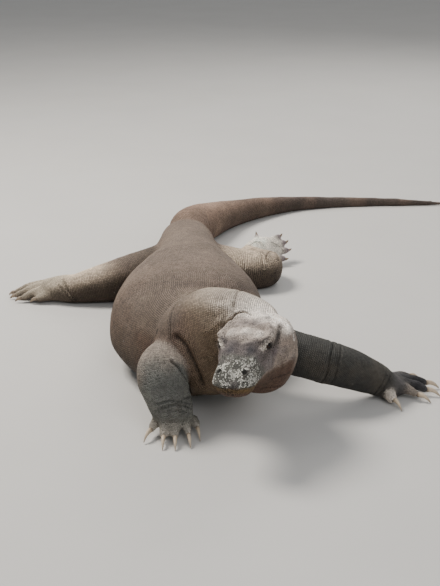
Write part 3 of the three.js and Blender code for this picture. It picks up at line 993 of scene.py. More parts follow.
def fill_bare(coat, points, triangles, face_normals, rng):
    """Adds scales where the rows left the skin bare."""
    corners = points[triangles]
    sides = corners[:, 1:] - corners[:, :1]
    area = np.linalg.norm(np.cross(sides[:, 0], sides[:, 1]), axis=1)
    count = int(area.sum() / 2 / SAMPLE_AREA)
    chosen = rng.choice(len(area), count, p=area / area.sum())
    a, b = rng.random((2, count, 1))
    flip = a + b > 1
    a, b = np.where(flip, 1 - a, a), np.where(flip, 1 - b, b)
    place = corners[chosen, 0] + sides[chosen, 0] * a + sides[chosen, 1] * b
    tree = tree_of(coat.point)
    found = [tree.find(x) for x in place]
    index, distance = np.array([n[1] for n in found]), np.array([n[2] for n in found])
    bare = np.nonzero(distance > FARTHEST * coat.gap[index])[0]
    extra = coat.pick(index[bare])
    extra.point, extra.normal = place[bare], face_normals[chosen[bare]]
    extra.lie = laid(extra.lie, extra.normal)
    return coat.joined(spread_out(extra))


def even_out(coat, tree, face_normals):
    """Moves crowded scales apart, so that the rows of different parts run together."""
    for _ in range(EVEN_ROUNDS):
        others = tree_of(coat.point)
        found = [others.find_n(place, EVEN_NEIGHBOURS + 1)[1:] for place in coat.point]
        index = np.array([[i for _, i, _ in row] for row in found])
        distance = np.maximum([[d for _, _, d in row] for row in found], 1e-4)
        away = (coat.point[:, None] - coat.point[index]) / distance[..., None]
        push = np.maximum(0, EVEN_SPACE * coat.gap[:, None] - distance)
        coat.point = coat.point + EVEN_STEP * np.sum(away * push[..., None], axis=1)
        coat = settle(coat, tree, face_normals, SKIN_REACH)
    return coat


def lay_coat(mesh, finer):
    """Every scale's place on the finished skin."""
    mesh.calc_loop_triangles()
    triangles = read(mesh.loop_triangles, "vertices", 3, np.int32)
    points, normals = layout_of(mesh), vertex_normals(mesh)
    face_normals = unit(normals[triangles].sum(axis=1))
    tree = BVHTree.FromPolygons(points.tolist(), triangles.tolist())
    coat = None
    for part, (name, loft) in enumerate(lofts(sizes().inset).items()):
        rows = coat_rows(part, name, loft, finer)
        rows = settle(rows, tree, face_normals, TOE_REACH if ".toe" in name else SKIN_REACH)
        coat = rows if coat is None else coat.joined(rows)
    coat = spread_out(coat)
    coat = fill_bare(coat, points, triangles, face_normals, np.random.default_rng(11))
    coat = even_out(coat, tree, face_normals)
    resting = (coat.point[:, 2] < RESTING_HEIGHT) & (coat.normal[:, 2] < RESTING_SLOPE)
    return coat.pick(~(resting | bare_head(coat.point)))


# A scale's rings: share of its size, share of its height and shift along its lie.
DOME = [(1.0, -0.2, 0.0), (0.66, 1.0, 0.08)]
DOME_SIDES, DOME_LENGTH = 6, 1.06  # sides of each ring, and length for width
LEAST_HALF, MOST_HALF = 0.34, 0.62  # limits of a scale's half width, in spacings
SIZE_NEIGHBOURS = 5  # how many nearest others set a scale's size
UV_SIZE = 0.0014  # half width of a scale in its OFBake map


def dome_template():
    """A scale's vertices, as shares across, along and up, and its faces."""
    points, faces = [], []
    for size, height, shift in DOME:
        for i in range(DOME_SIDES):
            angle = 2 * math.pi * (i + 0.5) / DOME_SIDES
            points.append((size * math.sin(angle), size * math.cos(angle) + shift, height))
    for level in range(len(DOME) - 1):
        for i in range(DOME_SIDES):
            j = (i + 1) % DOME_SIDES
            low, high = level * DOME_SIDES, (level + 1) * DOME_SIDES
            faces += [(low + i, high + i, low + j), (low + j, high + i, high + j)]
    last = (len(DOME) - 1) * DOME_SIDES
    faces += [(last, last + i + 1, last + i) for i in range(1, DOME_SIDES - 1)]
    return np.array(points), np.array(faces)


def scale_sizes(coat):
    """Half the mean distance to each scale's nearest neighbours."""
    tree = tree_of(coat.point)
    found = [tree.find_n(place, SIZE_NEIGHBOURS + 1)[1:] for place in coat.point]
    distances = [[distance for _, _, distance in row] for row in found]
    return np.clip(np.mean(distances, axis=1) / 2, LEAST_HALF * coat.gap, MOST_HALF * coat.gap)


def unwrapped(coat):
    """A place in the unit square for each scale: its turn across, its part and station upwards."""
    parts = np.unique(coat.part)
    share = 0.94 / len(parts)
    up = np.zeros(len(coat))
    for row, part in enumerate(parts):
        inside = coat.part == part
        t = coat.station[inside]
        spread = max(float(np.ptp(t)), 1e-6)
        up[inside] = 0.03 + share * (row + 0.96 * (t - t.min()) / spread)
    return np.stack([0.02 + 0.96 * coat.turn / (2 * math.pi), up], axis=1)


def bead_object(name, coat, half, rise, paint, tint):
    """One joined mesh of scales, with its colours and its OFBake map."""
    template, faces = dome_template()
    count, corners = len(coat), len(template)
    across = np.cross(coat.lie, coat.normal)
    wide = (half * sizes().scale_cover)[:, None, None]
    local = template[None] * np.concatenate([wide, wide * DOME_LENGTH, rise[:, None, None]], axis=2)
    points = coat.point[:, None] + across[:, None] * local[..., :1]
    points += coat.lie[:, None] * local[..., 1:2] + coat.normal[:, None] * local[..., 2:]
    points[..., 2] = np.maximum(points[..., 2], SCALE_FLOOR)
    mesh = bpy.data.meshes.new(name)
    every = (faces[None] + np.arange(count)[:, None, None] * corners).reshape(-1)
    mesh.vertices.add(count * corners)
    mesh.vertices.foreach_set("co", to_frame(points.reshape(-1, 3)).astype(np.float32).ravel())
    mesh.loops.add(len(every))
    mesh.loops.foreach_set("vertex_index", every.astype(np.int32))
    mesh.polygons.add(len(every) // 3)
    mesh.polygons.foreach_set("loop_start", np.arange(0, len(every), 3, dtype=np.int32))
    mesh.update(calc_edges=True)
    mesh.validate()
    mesh.shade_smooth()
    channels = (tint[:, :1], np.clip(template[:, 2], 0, 1)[None], tint[:, 1:])
    bead = np.stack([np.broadcast_to(c, (count, corners)) for c in channels], axis=2)
    store(mesh, "bead", bead.reshape(-1, 3))
    store(mesh, "paint", np.repeat(paint, corners, axis=0))
    patch = unwrapped(coat)[:, None] + template[None, :, :2] * UV_SIZE
    layer = mesh.uv_layers.new(name="OFBake")
    layer.uv.foreach_set("vector", patch.reshape(-1, 2)[every].astype(np.float32).ravel())
    return in_scene(name, mesh)


# ---- Markings, with painted light and shade ----

LIMB_STATIONS = 9.0  # where a limb's line ends and its toes and soles go on, in stations
DARKEST = 0.004  # the least of any colour's channels
FAR_FINGERS = ("cream", "elbow", "toe_shade", "toe_shade")  # the left hand's, from the first


def blend(tone, other, share):
    """Tones mixed with another by a share for each."""
    share = np.clip(share, 0, 1)[:, None]
    return tone * (1 - share) + np.asarray(other) * share


def painted(tone, palette, layers):
    """Tones with named colours laid over them in turn, each by its share."""
    for name, share in layers:
        tone = blend(tone, palette[name], share)
    return tone


def face_tone(palette, local, normals, patchy):
    """The head's colours with painted highlights and shade, the same on both sides but for the noise.
    """
    side = np.abs(local) * [1, 0, 0] + local * [0, 1, 1]
    x, y, z = side.T
    face_lit_top = smooth(0.3, 0.8, normals[:, 2])
    border = y + 0.12 * x + 5.5 * patchy + 2.5 * value_noise(local, 11, 8)
    brow, temple = (line_distance(side, polyline(HEAD_LINES[i][0])) for i in (0, 2))
    face = painted(np.tile(palette["cheek"], (len(local), 1)), palette, [
        ("crown", smooth(8, 26, z - 0.1 * x)),
        # Crown's highlight on up-facing skin of the head and on its ridges: painted highlight.
        ("crown_highlight", smooth(48, 4, y + 0.25 * local[:, 0] + 9 * patchy) * face_lit_top),
        ("crown_highlight", near(side, (26, 82, 38), 9) * 0.8),
        ("crown_highlight", near(side, (1, 78, 42), 9) * 0.8),
        ("crown_highlight", near(side, (40, 104, 25), 6) * 0.8),
        # Mauve grey in the crown's hollow: painted shade.
        ("mauve_shade", near(side, (9, 44, 47), (13, 13, 14)) * 0.8),
        ("snout", smooth(97, 104, border) * smooth(-26, -10, z)),
        ("blue_patch", near(side, (20, 120, 26), (9, 13, 12)) * 0.8),
        ("snout_tip", smooth(126, 142, border)),
        # The temple's groove darkened: painted shade.
        ("temple", hill(temple, 7.5) * 0.9),
        # Purple grey at the deep end of the temple's groove, behind the eye: painted shade.
        ("purple_shade", near(side, (53, 86, 10), (9, 9, 8)) * 0.9),
        # Dark round the eye, under the brow's overhang: painted shade.
        ("eyelid", near(side, EYE_PLACE, (13, 12, 10)) * 1.2),
        # The brow's ridge pale: painted highlight.
        ("brow", hill(brow, 3.8)),
        # Mauve patches at random over the head: painted shade of its relief.
        ("mauve_shade", smooth(0.0, 0.8, value_noise(local, 12, 14)) * 0.5),
    ])
    face = face * (1 + 0.24 * value_noise(local, 5.5, 15))[:, None]
    # Grooves darker and ridges a little lighter: painted shade and highlight.
    for line, width, rise in HEAD_LINES:
        share = hill(line_distance(side, polyline(line)), 0.9 * width)
        face = face * (1 + np.clip(0.1 * rise, -0.5, 0.1) * share)[:, None]
    below = lip_height(y) - z
    return painted(face, palette, [
        # Lower jaw: its brown below the mouth's line and under the head, made dark as partly painted
        # shade.
        ("shaded_jowl", smooth(-1, 9, below) * smooth(20, 44, y)),
        ("shaded_jowl", smooth(26, 60, -z) * smooth(60, 20, y) * 0.8),
        ("lip", smooth(0.5, 2, below) * smooth(13, 8, below) * smooth(120, 160, y)),
    ])


def markings(part, station, points, normals):
    """The colour of each place of skin, with painted light and shade, from its part, its station along
    it and where it lies and faces.
    """
    palette = {name: np.array(getattr(colours(), name)) for name in colours().__annotations__}
    part_name, family = np.array(PART_NAMES)[part], FAMILIES[part]
    trunk, tail = family == "trunk", family == "tail"
    right_arm, left_arm = family == "arm_right", family == "arm_left"
    right_leg, left_leg = family == "leg_right", family == "leg_left"
    toes = np.char.find(part_name, ".toe") > 0
    soles = np.char.find(part_name, ".sole") > 0
    x, y, z = points.T
    end = station + LIMB_STATIONS * (toes | soles)
    # Share of the skin that faces up: colours laid by it make the tops lighter and the lower sides
    # darker, as painted light from above.
    lit_top = smooth(-0.2, 0.8, normals[:, 2])
    broad, patchy = value_noise(points, 95, 5), value_noise(points, 34, 6)

    shoulder = near(points, (-215, -510, 130), (110, 130, 80))
    shoulder = shoulder + near(points, (-120, -600, 170), (60, 60, 60))
    collar = smooth(-175, -75, x + 14 * patchy) * smooth(-480, -570, y)
    neck = np.where(family == "head", 1.0, collar * ((family == "neck") | trunk))
    behind = near(points, HEAD_BASE + np.array([14, 0, 44]), (70, 62, 40))
    rear = smooth(240, 480, y + 22 * patchy) * (tail | trunk)
    bars = smooth(0.5, 0.9, np.sin(station * 5.2 + 0.5 * patchy)) * smooth(1.5, 3, station)
    tone = painted(np.tile(palette["flank"], (len(points), 1)), palette, [
        # Back: a lighter copy of the flank's colour on the tops, painted light from above.
        ("back", lit_top),
        ("rust", shoulder * smooth(-0.7, 0.5, broad + 0.5 * patchy) * 0.9),
        # Underside shade: dark on low skin that faces down, painted shade.
        ("belly", smooth(120, 20, z) * (1 - 0.6 * lit_top)),
        # Neck: its own beige, laid more on the top as painted light.
        ("neck", neck * (0.5 + 0.5 * lit_top)),
        # Nape: pale where the neck's top faces up, a painted highlight.
        ("nape", neck * smooth(0.6, 0.97, normals[:, 2])),
        # Crown's highlight on up-facing skin behind the head: painted highlight.
        ("crown_highlight", neck * behind * smooth(0.1, 0.8, normals[:, 2])),
        # Tail base: its own colour, laid more on the top as painted light.
        ("tail_base", rear * (0.5 + 0.5 * lit_top)),
        ("tail_root", near(points, (-165, 370, 60), (100, 120, 200)) * 0.55),
        ("tail", tail * smooth(3.0, 4.4, station)),
        ("tail_end", tail * smooth(4.8, 6.5, station)),
        ("tail_base", tail * bars * 0.35),
        # Underside shade on the lower side of the tail: painted shade.
        ("belly", tail * smooth(350, 620, y) * (1 - lit_top) * 0.6),
        # Elbow: the right upper arm's pale colour, laid more on the top as painted light.
        ("elbow", right_arm * smooth(0.6, 1.6, station) * (0.3 + 0.7 * lit_top)),
        ("forearm", right_arm * smooth(2.7, 3.5, end + 0.5 * patchy)),
        ("hand", right_arm * smooth(5.2, 6.4, end)),
        # Left arm and hand: darker copies of the right's colours, painted shade.
        ("left_arm_shade", left_arm * smooth(0.2, 1.4, end + 0.4 * patchy)),
        ("left_hand_shade", left_arm * smooth(5.0, 6.0, end)),
    ])
    # The left arm lighter on its top and darker below: painted light and shade.
    tone = tone * (1 + left_arm * smooth(0.5, 1.5, end) * (0.5 * lit_top - 0.2))[:, None]
    fingers = enumerate(FAR_FINGERS, start=1)
    tone = painted(tone, palette, [
        (name, (part_name == f"arm_left.toe{number}") * 0.95) for number, name in fingers
    ])
    tone = blend(tone, palette["cream"], right_arm * toes * smooth(0.6, 3.4, station) * 0.4)
    # The right thigh darker near the body: painted shadow of the trunk.
    tone = tone * (1 - 0.4 * right_leg * smooth(2.9, 1.7, end))[:, None]

    leg = right_leg | left_leg
    beyond = end - np.where(left_leg, 0.4, 2.6)
    knee = left_leg * smooth(2.2, 3.0, end) * smooth(5.2, 4.4, end)
    sole = left_leg & (toes | soles)
    under = smooth(0.5, -0.1, normals @ unit(LIMBS["leg_left"]["back"]))
    local = to_head(points)
    headed = smooth(-14, 12, local[:, 1] + 4 * patchy) * (np.abs(local[:, 0]) < 95)
    tone = painted(tone, palette, [
        # Hind leg: its pale colour, laid mostly on the tops as painted light.
        ("leg", leg * smooth(0, 1.4, beyond) * (0.15 + 0.85 * lit_top)),
        ("leg_shade", leg * (1 - lit_top) * smooth(1.0, 2.4, end) * 0.75),
        ("leg_shade", knee * 0.34),
        # Right hind foot: pale on the top and darker below, painted light.
        ("foot", right_leg * smooth(4.8, 6.2, end) * (0.1 + 0.9 * lit_top)),
        # Sole: near white, partly its own pale colour and partly painted light.
        ("sole", sole * under),
        ("toe_pads", sole * toes * smooth(1.6, 3.0, station)),
    ])
    tone = blend(tone, face_tone(palette, local, normals, patchy), headed * (family == "head"))
    uneven = 1 + 0.12 * broad + 0.16 * patchy + 0.16 * value_noise(points, 9, 13)
    return np.clip(tone * uneven[:, None], DARKEST, 1)


def pebbled(coat, paint, rng):
    """Near-white scales scattered over the end of the snout, and a few elsewhere."""
    local = to_head(coat.point)
    headed = (coat.part == HEAD_PART) & (np.abs(local[:, 0]) < 60)
    patch = smooth(130, 153, local[:, 1] + 9 * value_noise(coat.point, 14, 9))
    patch *= smooth(0.5, 3, local[:, 2] - lip_height(local[:, 1])) * headed
    clump = smooth(-1.15, 0.6, value_noise(coat.point, 6.5, 10) + 0.7 * value_noise(coat.point, 17, 12))
    chosen = rng.random(len(coat)) < 0.0015 + 0.78 * patch * clump
    strength = chosen * (0.25 + 0.7 * rng.random(len(coat))) * (0.12 + 0.88 * patch)
    return blend(paint, np.array(colours().pebble), strength)


# ---- Materials ----


class Value:
    """A shader socket that takes part in plain arithmetic."""

    def __init__(self, graph, socket):
        self.graph, self.socket = graph, socket

    def math(self, operation, *others):
        """The result of an operation on values or numbers."""
        return self.graph.node("ShaderNodeMath", {"operation": operation}, dict(enumerate(others)))

    def __add__(self, other):
        return self.math("ADD", self, other)

    def __rsub__(self, other):
        return self.math("SUBTRACT", other, self)

    def __mul__(self, other):
        return self.math("MULTIPLY", self, other)

    __radd__ = __add__
    __rmul__ = __mul__

    def ramped(self, low, high):
        """0 below low, 1 above high and an S-curve between."""
        inputs = {"Value": self, "From Min": low, "From Max": high}
        return self.graph.node("ShaderNodeMapRange", {"interpolation_type": "SMOOTHSTEP"}, inputs)


class Graph:
    """A material's nodes, ending in one Principled shader."""

    def __init__(self, name):
        self.material = bpy.data.materials.new(name)
        self.material.use_nodes = True
        self.tree = self.material.node_tree
        self.shader = self.tree.nodes["Principled BSDF"]

    def node(self, kind, settings=None, inputs=None, output=0):
        """A new node with its settings and inputs, as the value of one of its outputs."""
        made = self.tree.nodes.new(kind)
        for key, value in (settings or {}).items():
            setattr(made, key, value)
        for key, value in (inputs or {}).items():
            self.join(made.inputs[key], value)
        return Value(self, made.outputs[output])

    def join(self, socket, value):
        """Links a value to a socket, or sets the socket to a number or a colour."""
        if isinstance(value, Value):
            self.tree.links.new(value.socket, socket)
        elif isinstance(value, (int, float)):
            socket.default_value = value
        else:
            socket.default_value = (*value, 1.0)

    def mix(self, share, first, second, way="MIX"):
        """Two colours mixed by a share of the second."""
        settings = {"data_type": "RGBA", "blend_type": way}
        return self.node("ShaderNodeMix", settings, {0: share, 6: first, 7: second}, output=2)

    def tinted(self, colour, value):
        """A colour made lighter or darker by a value."""
        grey = self.node("ShaderNodeCombineColor", None, {0: value, 1: value, 2: value})
        return self.mix(1.0, colour, grey, "MULTIPLY")

    def noise(self, scale, detail=3.0, rough=0.55, place=None):
        """Noise at each place of the object, or at another place given."""
        inputs = {"Scale": scale, "Detail": detail, "Roughness": rough}
        inputs["Vector"] = place or self.place()
        return self.node("ShaderNodeTexNoise", None, inputs)

    def place(self):
        """The place within the object."""
        return self.node("ShaderNodeTexCoord", output=3)

    def split(self, colour, channel):
        """One channel of a colour."""
        return self.node("ShaderNodeSeparateColor", None, {0: colour}, output=channel)

    def attribute(self, name):
        """A colour that the mesh keeps for each vertex."""
        return self.node("ShaderNodeAttribute", {"attribute_name": name})

    def bump(self, height, distance, strength):
        """The surface's direction, changed by a height."""
        inputs = {"Height": height, "Distance": distance, "Strength": strength}
        return self.node("ShaderNodeBump", None, inputs)

    def finish(self, **sockets):
        """Joins values to the shader's sockets, and gives the finished material."""
        for key, value in sockets.items():
            self.join(self.shader.inputs[key.replace("_", " ")], value)
        return self.material


def scale_material():
    """Horny beads: a dark or pale edge, a random tone for each, grit and faint dust."""
    g = Graph("scales")
    paint, bead = g.attribute("paint"), g.attribute("bead")
    tone, height, pale_edge = (g.split(bead, i) for i in range(3))
    crown = height.ramped(0.1, 0.9)
    dark_rim = 0.26 + 0.86 * crown
    pale_rim = 1.7 - 0.95 * crown
    rim = dark_rim * (1 - pale_edge) + pale_rim * pale_edge
    grit, patch = g.noise(420.0, 3.0, 0.6), g.noise(55.0, 3.0, 0.6)
    value = rim * (0.76 + 0.48 * tone) * (0.76 + 0.48 * grit) * (0.7 + 0.6 * patch)
    base = g.tinted(paint, value)
    dust = g.noise(9.0, 4.0, 0.6).ramped(0.5, 0.75) * 0.12
    base = g.mix(dust, base, colours().dust)
    rough = 0.55 + 0.22 * g.noise(60.0, 2.0)
    normal = g.bump(g.noise(900.0, 3.0, 0.6), 0.0006, 0.5)
    return g.finish(Base_Color=base, Roughness=rough, Normal=normal, Specular_IOR_Level=0.35)


def skin_material():
    """Soft skin between the scales: the same markings, darker, with fine grain."""
    g = Graph("skin")
    paint = g.attribute("paint")
    grain = g.node("ShaderNodeTexVoronoi", None, {"Vector": g.place(), "Scale": 420.0})
    value = (0.24 + 0.3 * grain) * (0.8 + 0.4 * g.noise(150.0))
    base = g.tinted(paint, value)
    rough = 0.62 + 0.2 * g.noise(80.0)
    normal = g.bump(grain, 0.0008, 0.7)
    return g.finish(Base_Color=base, Roughness=rough, Normal=normal, Specular_IOR_Level=0.3)


def claw_material():
    """Horn: dark at the root, pale towards the tip, with fine streaks along it; the short claws of the
    hind feet darker, as painted shadow.
    """
    g = Graph("claw_horn")
    place = g.attribute("claw")
    along, around, dark = (g.split(place, i) for i in range(3))
    streak = g.noise(260.0, 3.0, 0.6)
    colour = g.mix(along.ramped(0.02, 0.3), colours().claw_root, colours().claw_tip)
    colour = g.mix(along.ramped(0.6, 1.0) * 0.5, colour, colours().claw_root)
    worn = (streak * 0.6 + around * 0.2).ramped(0.35, 0.75)
    # Wear along the streaks, and short claws mixed towards the root's colour as painted shadow.
    colour = g.mix(worn * 0.45 + dark * 0.6, colour, colours().claw_root)
    rough, normal = 0.34 + 0.2 * streak, g.bump(streak, 0.0005, 0.5)
    return g.finish(Base_Color=colour, Roughness=rough, Normal=normal, Specular_IOR_Level=0.45)


PUPIL = (0.003, 0.002, 0.002)


def eye_material():
    """Round dark pupil, brown iris with spokes and a golden ring round the pupil, wet all over."""
    g = Graph("eye_wet")
    place = g.attribute("eye")
    turn, around = g.split(place, 0), g.split(place, 1)
    spoke_place = g.node("ShaderNodeCombineXYZ", None, {0: around * 2.2, 1: turn * 0.15})
    spokes = g.noise(40.0, 4.0, 0.6, spoke_place)
    iris = g.mix(spokes.ramped(0.35, 0.7), colours().iris_dark, colours().iris)
    iris = g.mix((1 - turn.ramped(0.3, 0.36)) * 0.4, iris, colours().iris_ring)
    base = g.mix(turn.ramped(0.56, 0.64), iris, colours().eye_edge)
    base = g.mix(turn.ramped(0.27, 0.3), PUPIL, base)
    return g.finish(
        Base_Color=base, Roughness=0.2, Specular_IOR_Level=0.1, Coat_Weight=0.3, Coat_Roughness=0.02,
    )


# ---- Eyes and claws ----


def eye_object(side):
    """A ball with its pole on the way it looks, and how far each place is from that pole."""
    gaze = unit(np.array([side * GAZE[0], GAZE[1], GAZE[2]])) @ HEAD_AXES.T
    first = unit(np.cross(gaze, UP))
    axes = np.stack([first, np.cross(gaze, first), gaze], axis=1)
    points, faces = ball(eye_centre(side), axes, EYE_RADIUS, 64)
    name = "eye_right_ball" if side > 0 else "eye_left_ball"
    piece = new_object(name, to_frame(points), faces)
    away = unit(points - eye_centre(side)) @ axes
    turn = np.arccos(np.clip(away[:, 2], -1, 1)) / math.pi * 2
    around = np.arctan2(away[:, 1], away[:, 0]) / math.pi / 2 + 0.5
    store(piece.data, "eye", np.stack([turn, around], axis=1))
    return piece


CLAW_RINGS, CLAW_SIDES = 18, 14
CLAW_GIRTH = 9.0  # the radius of toe beyond which claws grow no thicker
CLAW_ROOT = 0.12  # how far back in its toe a claw starts, in its lengths
SHADED_CLAWS = 20  # claws shorter than this are darkened, as painted shadow


def claw_points(toe, length, back):
    """Rings of a claw that leaves the toe's end, rises a little and curls towards the sole."""
    place, radius = np.array(toe[:3], float), toe[6]
    direction, back = toe_direction(toe), unit(back)
    level = unit(direction - back * (direction @ back))
    side = np.cross(level, back)
    start = place + direction * toe[5]
    rings = []
    for i in range(CLAW_RINGS):
        share = i / (CLAW_RINGS - 1)
        rise = length * (CLAW_RISE * share - CLAW_HOOK * share**2)
        slope = CLAW_RISE - 2 * CLAW_HOOK * share
        up = unit(back - level * slope)
        centre = start + level * length * (share - CLAW_ROOT) + back * rise
        size = min(radius, CLAW_GIRTH) * (0.59 - 0.51 * share**1.9)
        for k in range(CLAW_SIDES):
            angle = 2 * math.pi * k / CLAW_SIDES
            keel = 1.0 + 0.12 * max(0.0, -math.sin(angle))
            across = side * size * 0.79 * math.cos(angle)
            rings.append(centre + across + up * size * keel * math.sin(angle))
    return np.array(rings)


def claws_object(limb):
    """The claws of one foot in one piece, how far along and round them each place lies, and whether
    they are darkened as painted shadow.
    """
    points, faces = [], []
    for number, toe in enumerate(limb["toes"]):
        points.append(claw_points(toe, limb["claw"], limb["back"]))
        faces += tube_faces(CLAW_RINGS, CLAW_SIDES, number * CLAW_RINGS * CLAW_SIDES)
    points = np.concatenate(points)
    points[:, 2] = np.maximum(points[:, 2], CLAW_FLOOR)
    piece = new_object(f"claws_{limb['foot']}", to_frame(points), faces)
    along = np.repeat(np.linspace(0, 1, CLAW_RINGS), CLAW_SIDES)
    around = np.tile(np.linspace(0, 1, CLAW_SIDES), CLAW_RINGS)
    # 1 on short claws, which are painted darker as shadow.
    dark = np.full(len(along), float(limb["claw"] < SHADED_CLAWS))
    store(piece.data, "claw", np.tile(np.stack([along, around, dark], 1), (len(limb["toes"]), 1)))
    return piece


def placed(piece, material, slot, *nodes):
    """Gives a piece its material and its body, and hides the CAD nodes that it stands for. The slot is
    not used.
    """
    piece.data.materials.append(material)
    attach(piece, "root")
    if nodes:
        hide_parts(*nodes)


# ---- Sizes and colours that a user may change ----


def size(name, default, low, high, what):
    """A size with its limits."""
    return FloatProperty(name=name, default=default, min=low, max=high, description=what)


def colour(name, red, green, blue):
    """A colour from screen values of 0 to 255."""
    shares = np.array([red, green, blue]) / 255
    linear = np.where(shares > 0.04, ((shares + 0.055) / 1.055) ** 2.4, shares / 12.92)
    return FloatVectorProperty(
        name=name, subtype="COLOR", size=3, default=linear.tolist(), min=0, max=1,
        description=f"Colour of the {name.lower()}",
    )


class KomodoSizes(bpy.types.PropertyGroup):
    """Sizes in millimetres, the share that scales cover, and the most scales in a piece."""

    inset: size("Skin inset", 1.3, 0.0, 4.0, "How far the skin lies inside the solids")
    voxel: size("Skin grain", 4.4, 3.0, 8.0, "Size of the skin's faces before they are divided")
    floor_clearance: size("Floor clearance", 0.8, 0.0, 3.0, "Least height of skin over the floor")
    scale_cover: size("Scale cover", 1.1, 0.8, 1.3, "Width of a scale, as a share of its spacing")
    largest_piece: IntProperty(
        name="Scales in a piece", default=9800, min=1000, max=11000,
        description="Most scales in one joined mesh",
    )


class KomodoColours(bpy.types.PropertyGroup):
    """Colours of the skin's markings with painted light and shade, the claws and the eyes."""

    # The flank's colour as lit from above: painted light.
    back: colour("Back", 118, 104, 93)
    flank: colour("Flank", 88, 73, 60)
    # Dark for low skin that faces down: painted shade, not the belly's own colour.
    belly: colour("Belly", 48, 41, 34)
    rust: colour("Shoulder patch", 78, 54, 43)
    neck: colour("Neck", 124, 106, 84)
    # Pale for the top of the neck: a painted highlight.
    nape: colour("Nape", 176, 162, 146)
    tail_root: colour("Tail root", 98, 76, 62)
    tail_base: colour("Tail base", 160, 134, 116)
    tail: colour("Tail", 130, 109, 95)
    tail_end: colour("Tail end", 98, 86, 80)
    elbow: colour("Elbow", 150, 139, 128)
    forearm: colour("Forearm", 102, 102, 97)
    hand: colour("Hand", 108, 106, 97)
    # The left arm and hand: darker copies of the right's, painted shade.
    left_arm_shade: colour("Left arm in shade", 58, 57, 54)
    left_hand_shade: colour("Left hand in shade", 86, 83, 82)
    cream: colour("First finger", 224, 213, 200)
    toe_shade: colour("Outer fingers", 62, 61, 63)
    # Pale for the hind legs, laid mostly on their tops: partly painted light.
    leg: colour("Hind leg", 206, 187, 165)
    leg_shade: colour("Hind leg below", 54, 42, 32)
    # Pale for the right hind foot's top: partly painted light.
    foot: colour("Hind foot", 184, 171, 152)
    # Near white for the left sole: its pale colour pushed up as painted light.
    sole: colour("Sole", 252, 243, 228)
    toe_pads: colour("Toe pads", 146, 132, 134)
    crown: colour("Crown", 160, 148, 138)
    # Near white for the crown's lit ridges: a painted highlight.
    crown_highlight: colour("Crown's highlight", 248, 239, 228)
    # Pale for the brow's ridge: a painted highlight.
    brow: colour("Brow", 230, 219, 204)
    # Mauve grey for the crown's hollow and random patches: painted shade.
    mauve_shade: colour("Mauve shade", 106, 99, 98)
    cheek: colour("Cheek", 130, 117, 107)
    snout: colour("Snout", 96, 88, 86)
    blue_patch: colour("Snout patch", 38, 40, 47)
    snout_tip: colour("Snout tip", 84, 83, 77)
    pebble: colour("Pale scales", 214, 212, 202)
    # Dark for the temple's groove: painted shade.
    temple: colour("Temple", 52, 47, 47)
    # Purple grey for the deep end of the temple's groove: painted shade.
    purple_shade: colour("Shade behind the eye", 72, 64, 86)
    # Dark for the skin round the eye: painted shade under the brow.
    eyelid: colour("Eyelid", 44, 38, 36)
    # Brown of the lower jaw, darkened for the shade under the head: partly painted shade.
    shaded_jowl: colour("Lower jaw", 72, 54, 44)
    lip: colour("Lower lip", 90, 70, 42)
    dust: colour("Dust", 158, 140, 118)
    claw_root: colour("Claw root", 92, 76, 64)
    claw_tip: colour("Claw tip", 198, 180, 156)
    iris: colour("Iris", 48, 31, 20)
    iris_dark: colour("Iris shade", 24, 16, 12)
    iris_ring: colour("Ring round the pupil", 84, 58, 32)
    eye_edge: colour("Eye's edge", 40, 30, 26)


# ---- Operators ----

FLESH_NODES = [
    "trunk", "neck", "head", "lower_jaw", "tail_base", "tail_middle", "tail_end",
    "upper_arm_right", "forearm_right", "hand_right", "upper_arm_left", "forearm_left", "hand_left",
    "thigh_right", "shank_right", "foot_right", "thigh_left", "shank_left", "foot_left",
]


def paint_skin(mesh, coat):
    """Markings on the skin, run together a little so that no part shows an edge, with painted shade in
    the creases.
    """
    points, normals = layout_of(mesh), vertex_normals(mesh)
    nearest = nearest_of(points, coat.point)
    tone = markings(coat.part[nearest], coat.station[nearest], points, normals)
    tone = relax(tone, edge_pairs(mesh), 1.0, 6, False)
    crease = read(mesh.attributes["crease"].data, "value", 1)
    across, ahead, _ = to_head(points).T
    headed = smooth(0, 30, ahead) * smooth(104, 86, np.abs(across))
    headed = headed * (coat.part[nearest] == HEAD_PART) * smooth(150, 120, ahead)
    # The head's skin a little lighter, and the creases darkened as painted shade.
    tone = tone * (1 + 0.35 * headed)[:, None] * (1 - 0.6 * crease)
    store(mesh, "paint", tone)
    return tone


def pale_edges(coat):
    """How far each scale has a pale edge: on the forearms and fingers, and less behind the snout."""
    arms = np.char.startswith(FAMILIES[coat.part], "arm") * smooth(1.6, 3.2, coat.station)
    return arms + 0.4 * (coat.part == HEAD_PART) * smooth(130, 110, to_head(coat.point)[:, 1])


def coat_groups(coat, most):
    """Splits the coat into pieces: trunk, neck, head, tail and each limb, none too large."""
    for family in dict.fromkeys(FAMILIES.tolist()):
        members = np.nonzero(FAMILIES[coat.part] == family)[0]
        order = members[np.lexsort((coat.station[members], coat.part[members]))]
        pieces = max(1, math.ceil(len(order) / most))
        for i, group in enumerate(np.array_split(order, pieces)):
            yield (f"scales_{family}" if pieces == 1 else f"scales_{family}_{i + 1}"), group


